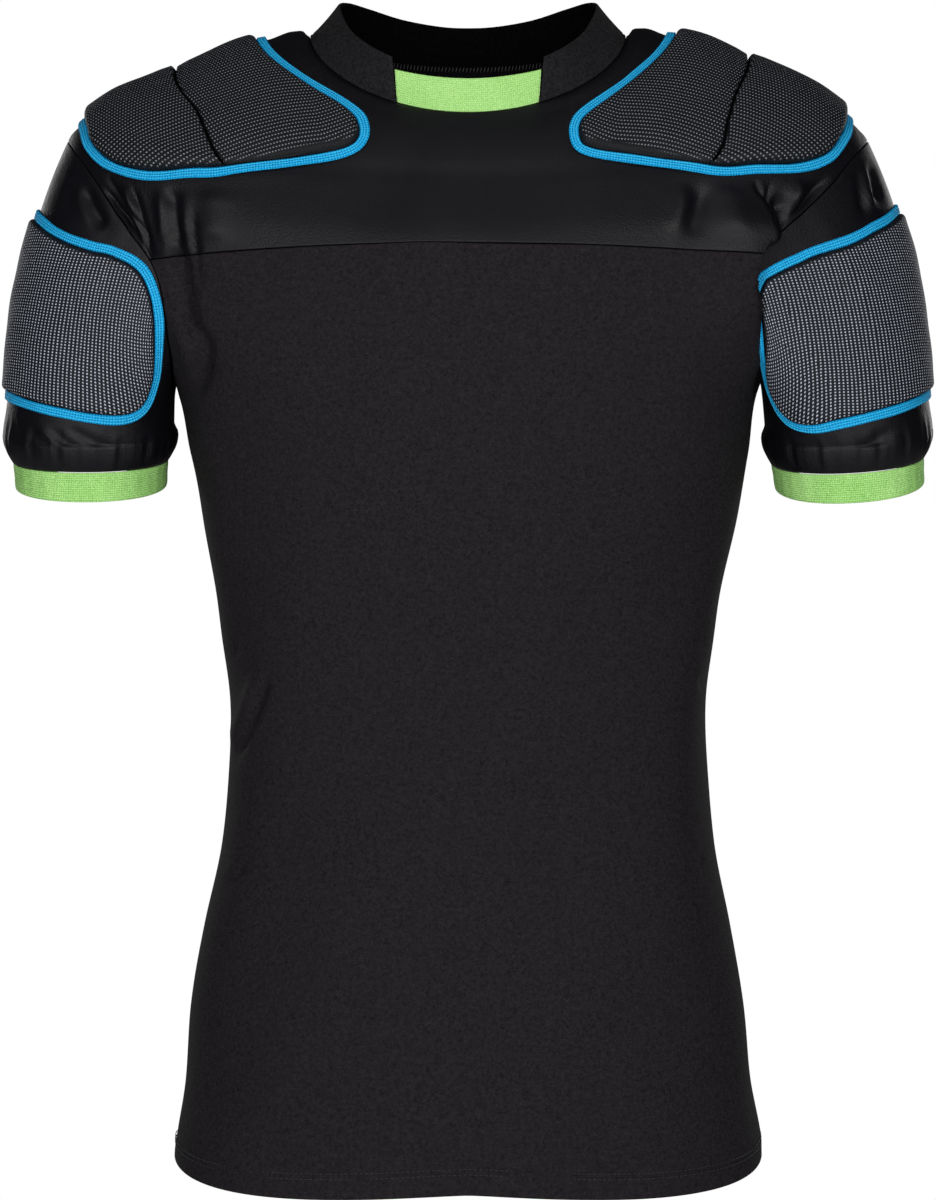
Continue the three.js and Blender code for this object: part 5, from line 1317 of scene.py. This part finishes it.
end = COLLAR_END + 0.5 / 66
thetas = np.linspace(end, math.pi - end, int(110 * FINE))
th, sh = np.meshgrid(thetas, shares)
base = tab_point(th, sh)
up = surface_normal(tab_point, th, sh)
tall = np.linalg.norm(tab_point(thetas, 1.0) - tab_point(thetas, 0.0), axis=-1)
girth_mm = np.concatenate([[0], np.cumsum(np.linalg.norm(np.diff(base[len(shares) // 2], axis=0), axis=-1))])
from_top = (1 - sh) * tall[None, :]
from_base = sh * tall[None, :]
from_end = np.minimum(girth_mm, girth_mm[-1] - girth_mm)[None, :] + 0 * sh
half = WALL["tab"] / 2
rounded = np.minimum(np.minimum(from_top, from_end), from_base + 0.2)
drop = half * (1 - np.sqrt(np.maximum(1 - (1 - np.clip(rounded / half, 0, 1)) ** 2, 0)))
bow = 0.5 * np.sin(math.pi * sh) * np.sin(girth_mm / girth_mm[-1] * math.pi)[None, :] + 0.15 * np.sin(girth_mm / 7.0)[None, :] * sh
outer = base + up * (bow - drop)[..., None]
inner = base - up * (WALL["tab"] - bow - drop)[..., None]
inward, apart, depth1, depth2 = neck_mitre(thetas)
w = smooth(1 - from_base / 3.0)[..., None]
outer = outer - apart[None] * (SEAM_GAP / 2 + 0.03) * w
inner = mix(inner, outer + inward[None] * (WALL["tab"] * np.minimum(depth2, 1.3))[None], w * 0.999)
points, faces, pick = shell(outer, inner, False)
uv = np.stack([np.broadcast_to(girth_mm[None, :], sh.shape), from_base], -1).reshape(-1, 2)[pick]
mesh_piece("collar_tab_cloth", points, faces, TAB, "collar_tab", uv=uv)
areas["collar_tab"] = sheet_area(base)

# ------------------------------------------------------------------ sleeves and cuffs
for side in "LR":
    rounds = np.arange(int(190 * FINE) // 2 * 2) * (2 * math.pi / (int(190 * FINE) // 2 * 2))
    count = len(rounds)
    steps = edge_steps(1.0, 0.0125 / FINE, first=(0.0, 0.001, 0.0025, 0.0045, 0.007, 0.011, 0.017), last=(0.0, 0.006))
    rr, ss = np.meshgrid(rounds, steps)
    base = sleeve(side, rr, ss)
    up = sleeve_normal(side, rr, ss)
    tall = np.linalg.norm(np.diff(base, axis=0), axis=-1)
    from_seam = np.vstack([np.zeros((1, count)), np.cumsum(tall, 0)])
    rise = crease_height("sleeve_" + side, base, up)
    rise = rise * (smooth(from_seam / 9.0) * 0.85 + 0.15) * clear_of(pad_rims["sleeve_" + side], base, 7.0)
    gather = (0.42 * np.sin(23 * rounds + 1.3) + 0.34 * np.sin(37 * rounds + 0.4 + 1.2 * np.sin(2 * rounds)) + 0.24 * np.sin(53 * rounds))
    rise = rise + 0.7 * gather[None, :] * smooth((ss - 0.9) / 0.1) + 1.9 * smooth((ss - 0.82) / 0.18)
    rise = rise - roll(from_seam, 0.9) * 0.8
    outer = base + up * rise[..., None]
    way = -up * WALL["sleeve"]
    inward, apart, depth1, depth2 = armhole_mitre(side, rounds)
    w = smooth(1 - from_seam / 9.0)[..., None]
    outer = outer - apart[None] * (SEAM_GAP / 2 + 0.03) * w
    way = mix(way, inward[None] * (WALL["sleeve"] * depth2)[None], w)
    inner = outer + way
    radial = unit(np.stack([outward(side) * np.cos(rounds), -np.sin(rounds), 0 * rounds], -1))
    # the cloth blouses over the cuff and turns in under its upper edge
    lower, lower_in = [], []
    for t in np.linspace(0.1, 1.0, 10):
        ring = mix(sleeve_ring(side, "blouse", rounds), sleeve_ring(side, "cuffTop", rounds), t)
        out = 0.45 + 1.75 * (1 - t**2.2) + 0.9 * math.sin(math.pi * t)
        pleat = gather * (0.75 + 0.5 * math.sin(math.pi * t)) * (1 - 0.75 * t**3)
        p = ring + radial * (out + pleat[:, None] * 0.9) + np.array([0, 0, 0.3 * t])
        lower.append(p)
        lower_in.append(p - radial * WALL["sleeve"] - np.array([0, 0, 0.0]))
    outer = np.concatenate([outer, np.array(lower)], 0)
    inner = np.concatenate([inner, np.array(lower_in)], 0)
    points, faces, pick = shell(outer, inner, True)
    ring = np.linalg.norm(np.diff(np.vstack([outer[40], outer[40][:1]]), axis=0), axis=-1)
    girth_mm = np.concatenate([[0], np.cumsum(ring)])[:-1]
    long_mm = np.vstack([np.zeros((1, count)), np.cumsum(np.linalg.norm(np.diff(outer, axis=0), axis=-1), 0)])
    uv = np.stack([np.broadcast_to(girth_mm[None, :], long_mm.shape), long_mm], -1).reshape(-1, 2)[pick]
    mesh_piece(f"sleeve_{side}_cloth", points, faces, LYCRA, f"sleeve_{side}", uv=uv, wrap=float(ring.sum()))
    areas["sleeve_" + side] = sheet_area(np.concatenate([outer, outer[:, :1]], 1))

    rounds = np.arange(int(260 * FINE)) * (2 * math.pi / int(260 * FINE))
    top, low = sleeve_ring(side, "cuffTop", rounds), sleeve_ring(side, "cuffEdge", rounds)
    radial = unit(np.stack([outward(side) * np.cos(rounds), -np.sin(rounds), 0 * rounds], -1))
    t = edge_steps(1.0, 0.06, first=(0.0, 0.008, 0.022, 0.042, 0.07), last=(0.0, 0.008, 0.022, 0.042, 0.07))
    base = mix(top[None], low[None], t[:, None, None])
    tall = np.linalg.norm(low - top, axis=-1)[None, :]
    d = np.minimum(t[:, None] * tall, (1 - t)[:, None] * tall)
    drop = roll(d, WALL["cuff"] / 2)
    ripple = 0.16 * np.sin(31 * rounds + 0.8)[None, :] * np.sin(math.pi * t)[:, None] + 0.12 * np.sin(math.pi * 3 * t)[:, None]
    outer = base + radial[None] * (ripple - drop)[..., None]
    inner = base - radial[None] * (WALL["cuff"] - drop)[..., None]
    points, faces, pick = shell(outer, inner, True)
    ring = np.linalg.norm(np.diff(np.vstack([top, top[:1]]), axis=0), axis=-1)
    girth_mm = np.concatenate([[0], np.cumsum(ring)])[:-1]
    uv = np.stack([np.broadcast_to(girth_mm[None, :], (len(t), len(rounds))), t[:, None] * tall], -1).reshape(-1, 2)[pick]
    mesh_piece(f"cuff_{side}_cloth", points, faces, ELASTIC, f"cuff_{side}", uv=uv, wrap=float(ring.sum()))
    areas["cuff_" + side] = sheet_area(np.concatenate([base, base[:, :1]], 1))


# ------------------------------------------------------------------ stitches
def stitch_rows(name, starts, ends, ups, radius, material, sink=0.25):
    """One joined mesh of short thread stitches, each a small spindle from start to end."""
    starts, ends, ups = (np.asarray(v, float) for v in (starts, ends, ups))
    along = unit(ends - starts)
    across = unit(np.cross(ups, along))
    profile = [(0.0, 0.25, -sink), (0.16, 0.85, 0.0), (0.5, 1.0, 0.12), (0.84, 0.85, 0.0), (1.0, 0.25, -sink)]
    sides = 6
    rings = []
    for t, r, h in profile:
        centre = starts + (ends - starts) * t + ups * (h + 0.0)
        for k in range(sides):
            a = 2 * math.pi * k / sides
            rings.append(centre + (across * math.cos(a) + ups * math.sin(a)) * radius * r)
    n = len(starts)
    points = np.array(rings).transpose(1, 0, 2).reshape(-1, 3)
    per = sides * len(profile)
    faces = []
    for i in range(len(profile) - 1):
        for k in range(sides):
            a, b = i * sides + k, i * sides + (k + 1) % sides
            faces.append((a, b, b + sides, a + sides))
    faces.append(tuple(range(sides))[::-1])
    faces.append(tuple(range(per - sides, per)))
    all_faces = []
    for i in range(n):
        all_faces += [tuple(v + i * per for v in f) for f in faces]
    return mesh_piece(name, points, all_faces, material, None, flip_check=False)


def round_points(level, lift, pitch, length):
    """Starts, ends and normals of a row of stitches round the torso form at a level."""
    theta = np.linspace(0, 2 * math.pi, 2400)
    p = form(theta, level)
    s = np.concatenate([[0], np.cumsum(np.linalg.norm(np.diff(p, axis=0), axis=-1))])
    count = int(s[-1] / pitch)
    at = lambda dist: np.interp(dist, s, theta)
    base = np.arange(count) * s[-1] / count
    a, b = at(base), at(base + length)
    mid_t = at(base + length / 2)
    n = form_normal(mid_t, level)
    return form(a, level) + n * lift, form(b, level) + n * lift, n


def hem_lift(theta_points):
    return wave_height(theta_points) * 0.2


for i, level in enumerate((14.6, 11.6)):
    s, e, n = round_points(level, 0.0, 3.1, 2.35)
    lift = hem_lift(s)[:, None]
    s, e = s + n * (lift + 0.12), e + n * (lift + 0.12)
    if i == 0:
        starts, ends, ups = s, e, n
    else:
        starts, ends, ups = np.vstack([starts, s]), np.vstack([ends, e]), np.vstack([ups, n])
stitch_rows("hem_stitches", starts, ends, ups, 0.27, BLACK_THREAD)

# serged stitches inside the neck seam, round the back
theta = np.linspace(math.pi + 0.25, 2 * math.pi - 0.25, 900)
p = collar_point(theta, 0.16)
n = -surface_normal(collar_point, theta, np.full_like(theta, 0.16))
s = np.concatenate([[0], np.cumsum(np.linalg.norm(np.diff(p, axis=0), axis=-1))])
count = int(s[-1] / 2.2)
base = np.arange(count) * s[-1] / count
ta = np.interp(base, s, theta)
tb = np.interp(base + 0.9, s, theta)
na = -surface_normal(collar_point, ta, np.full_like(ta, 0.12))
starts = collar_point(ta, 0.0) + na * (WALL["collar"] + 0.1) + np.array([0, 0, -3.4])
ends = collar_point(tb, 0.0) + na * (WALL["collar"] + 0.1) + np.array([0, 0, 0.6])
stitch_rows("neck_stitches", starts, ends, na, 0.26, PALE_THREAD)

# ------------------------------------------------------------------ sheets
for node, cut, held in (
    ("front_body", (0.52, 0.56), "stretched"), ("back_body", (0.50, 0.56), "stretched"), ("yoke", (0.62, 0.30), "stretched"),
    ("collar", (0.42, 0.05), "stretched"), ("collar_tab", (0.095, 0.04), "stretched"),
    ("sleeve_L", (0.37, 0.20), "stretched"), ("sleeve_R", (0.37, 0.20), "stretched"),
    ("cuff_L", (0.31, 0.02), "stretched"), ("cuff_R", (0.31, 0.02), "stretched"),
):
    area = min(areas[node] / 1.0, cut[0] * cut[1])
    area = max(area, 0.31 * cut[0] * cut[1])
    print("sheet", node, "area", round(areas[node], 5), "cut", cut)

# ------------------------------------------------------------------ floor, light, camera
bpy.ops.mesh.primitive_circle_add(vertices=96, radius=2.9, fill_type="NGON", location=(0, 0, -1.2))
floor = bpy.context.object
floor.name = "floor"
plain = Nodes("floor_pale")
plain.link(plain.ramp(plain.noise(plain.object_place(), 3.0), [(0.3, (0.80, 0.80, 0.80)), (0.7, (0.83, 0.83, 0.83))]), plain.shader.inputs["Base Color"])
plain.set(Roughness=0.9)
floor.data.materials.append(plain.material)

world = bpy.data.worlds.new("studio")
bpy.context.scene.world = world
world.use_nodes = True
tree = world.node_tree
tree.nodes.clear()
seen = tree.nodes.new("ShaderNodeBackground")
seen.inputs["Color"].default_value = (1, 1, 1, 1)
seen.inputs["Strength"].default_value = 1.0
fill = tree.nodes.new("ShaderNodeBackground")
fill.inputs["Color"].default_value = (0.97, 0.98, 1, 1)
fill.inputs["Strength"].default_value = 0.04
path = tree.nodes.new("ShaderNodeLightPath")
both = tree.nodes.new("ShaderNodeMixShader")
out = tree.nodes.new("ShaderNodeOutputWorld")
tree.links.new(path.outputs["Is Camera Ray"], both.inputs[0])
tree.links.new(fill.outputs[0], both.inputs[1])
tree.links.new(seen.outputs[0], both.inputs[2])
tree.links.new(both.outputs[0], out.inputs["Surface"])


def area_light(name, place, aim, size, power, color=(1, 1, 1)):
    data = bpy.data.lights.new(name, "AREA")
    data.shape = "RECTANGLE"
    data.size, data.size_y = size
    data.energy = power
    data.color = color
    light = bpy.data.objects.new(name, data)
    light.location = place
    light.rotation_mode = "QUATERNION"
    light.rotation_quaternion = (Vector(aim) - Vector(place)).to_track_quat("-Z", "Y")
    light.visible_camera = False
    bpy.context.scene.collection.objects.link(light)
    return light


area_light("key_left", (-0.95, -2.5, 0.05), (0, 0, -0.3), (0.5, 1.3), 38)
area_light("key_right", (1.0, -2.5, 0.05), (0, 0, -0.3), (0.5, 1.3), 36)
area_light("top", (0, -1.2, 1.8), (0, 0, -0.3), (1.4, 0.8), 5)
area_light("back_left", (-1.5, 2.3, 0.3), (0, 0, -0.3), (0.8, 1.3), 12)
area_light("back_right", (1.5, 2.3, 0.3), (0, 0, -0.3), (0.8, 1.3), 12)

data = bpy.data.cameras.new("camera")
data.sensor_width = 36.0
data.lens = 36.0 * 2600.0 / 744.0
data.clip_start, data.clip_end = 0.05, 50
camera = bpy.data.objects.new("camera", data)
camera.location = (0, -2.6, -0.3497)
camera.rotation_euler = (math.pi / 2, 0, 0)
bpy.context.scene.collection.objects.link(camera)
bpy.context.scene.camera = camera
bpy.context.scene.view_settings.view_transform = "Standard"
bpy.context.scene.view_settings.look = "None"
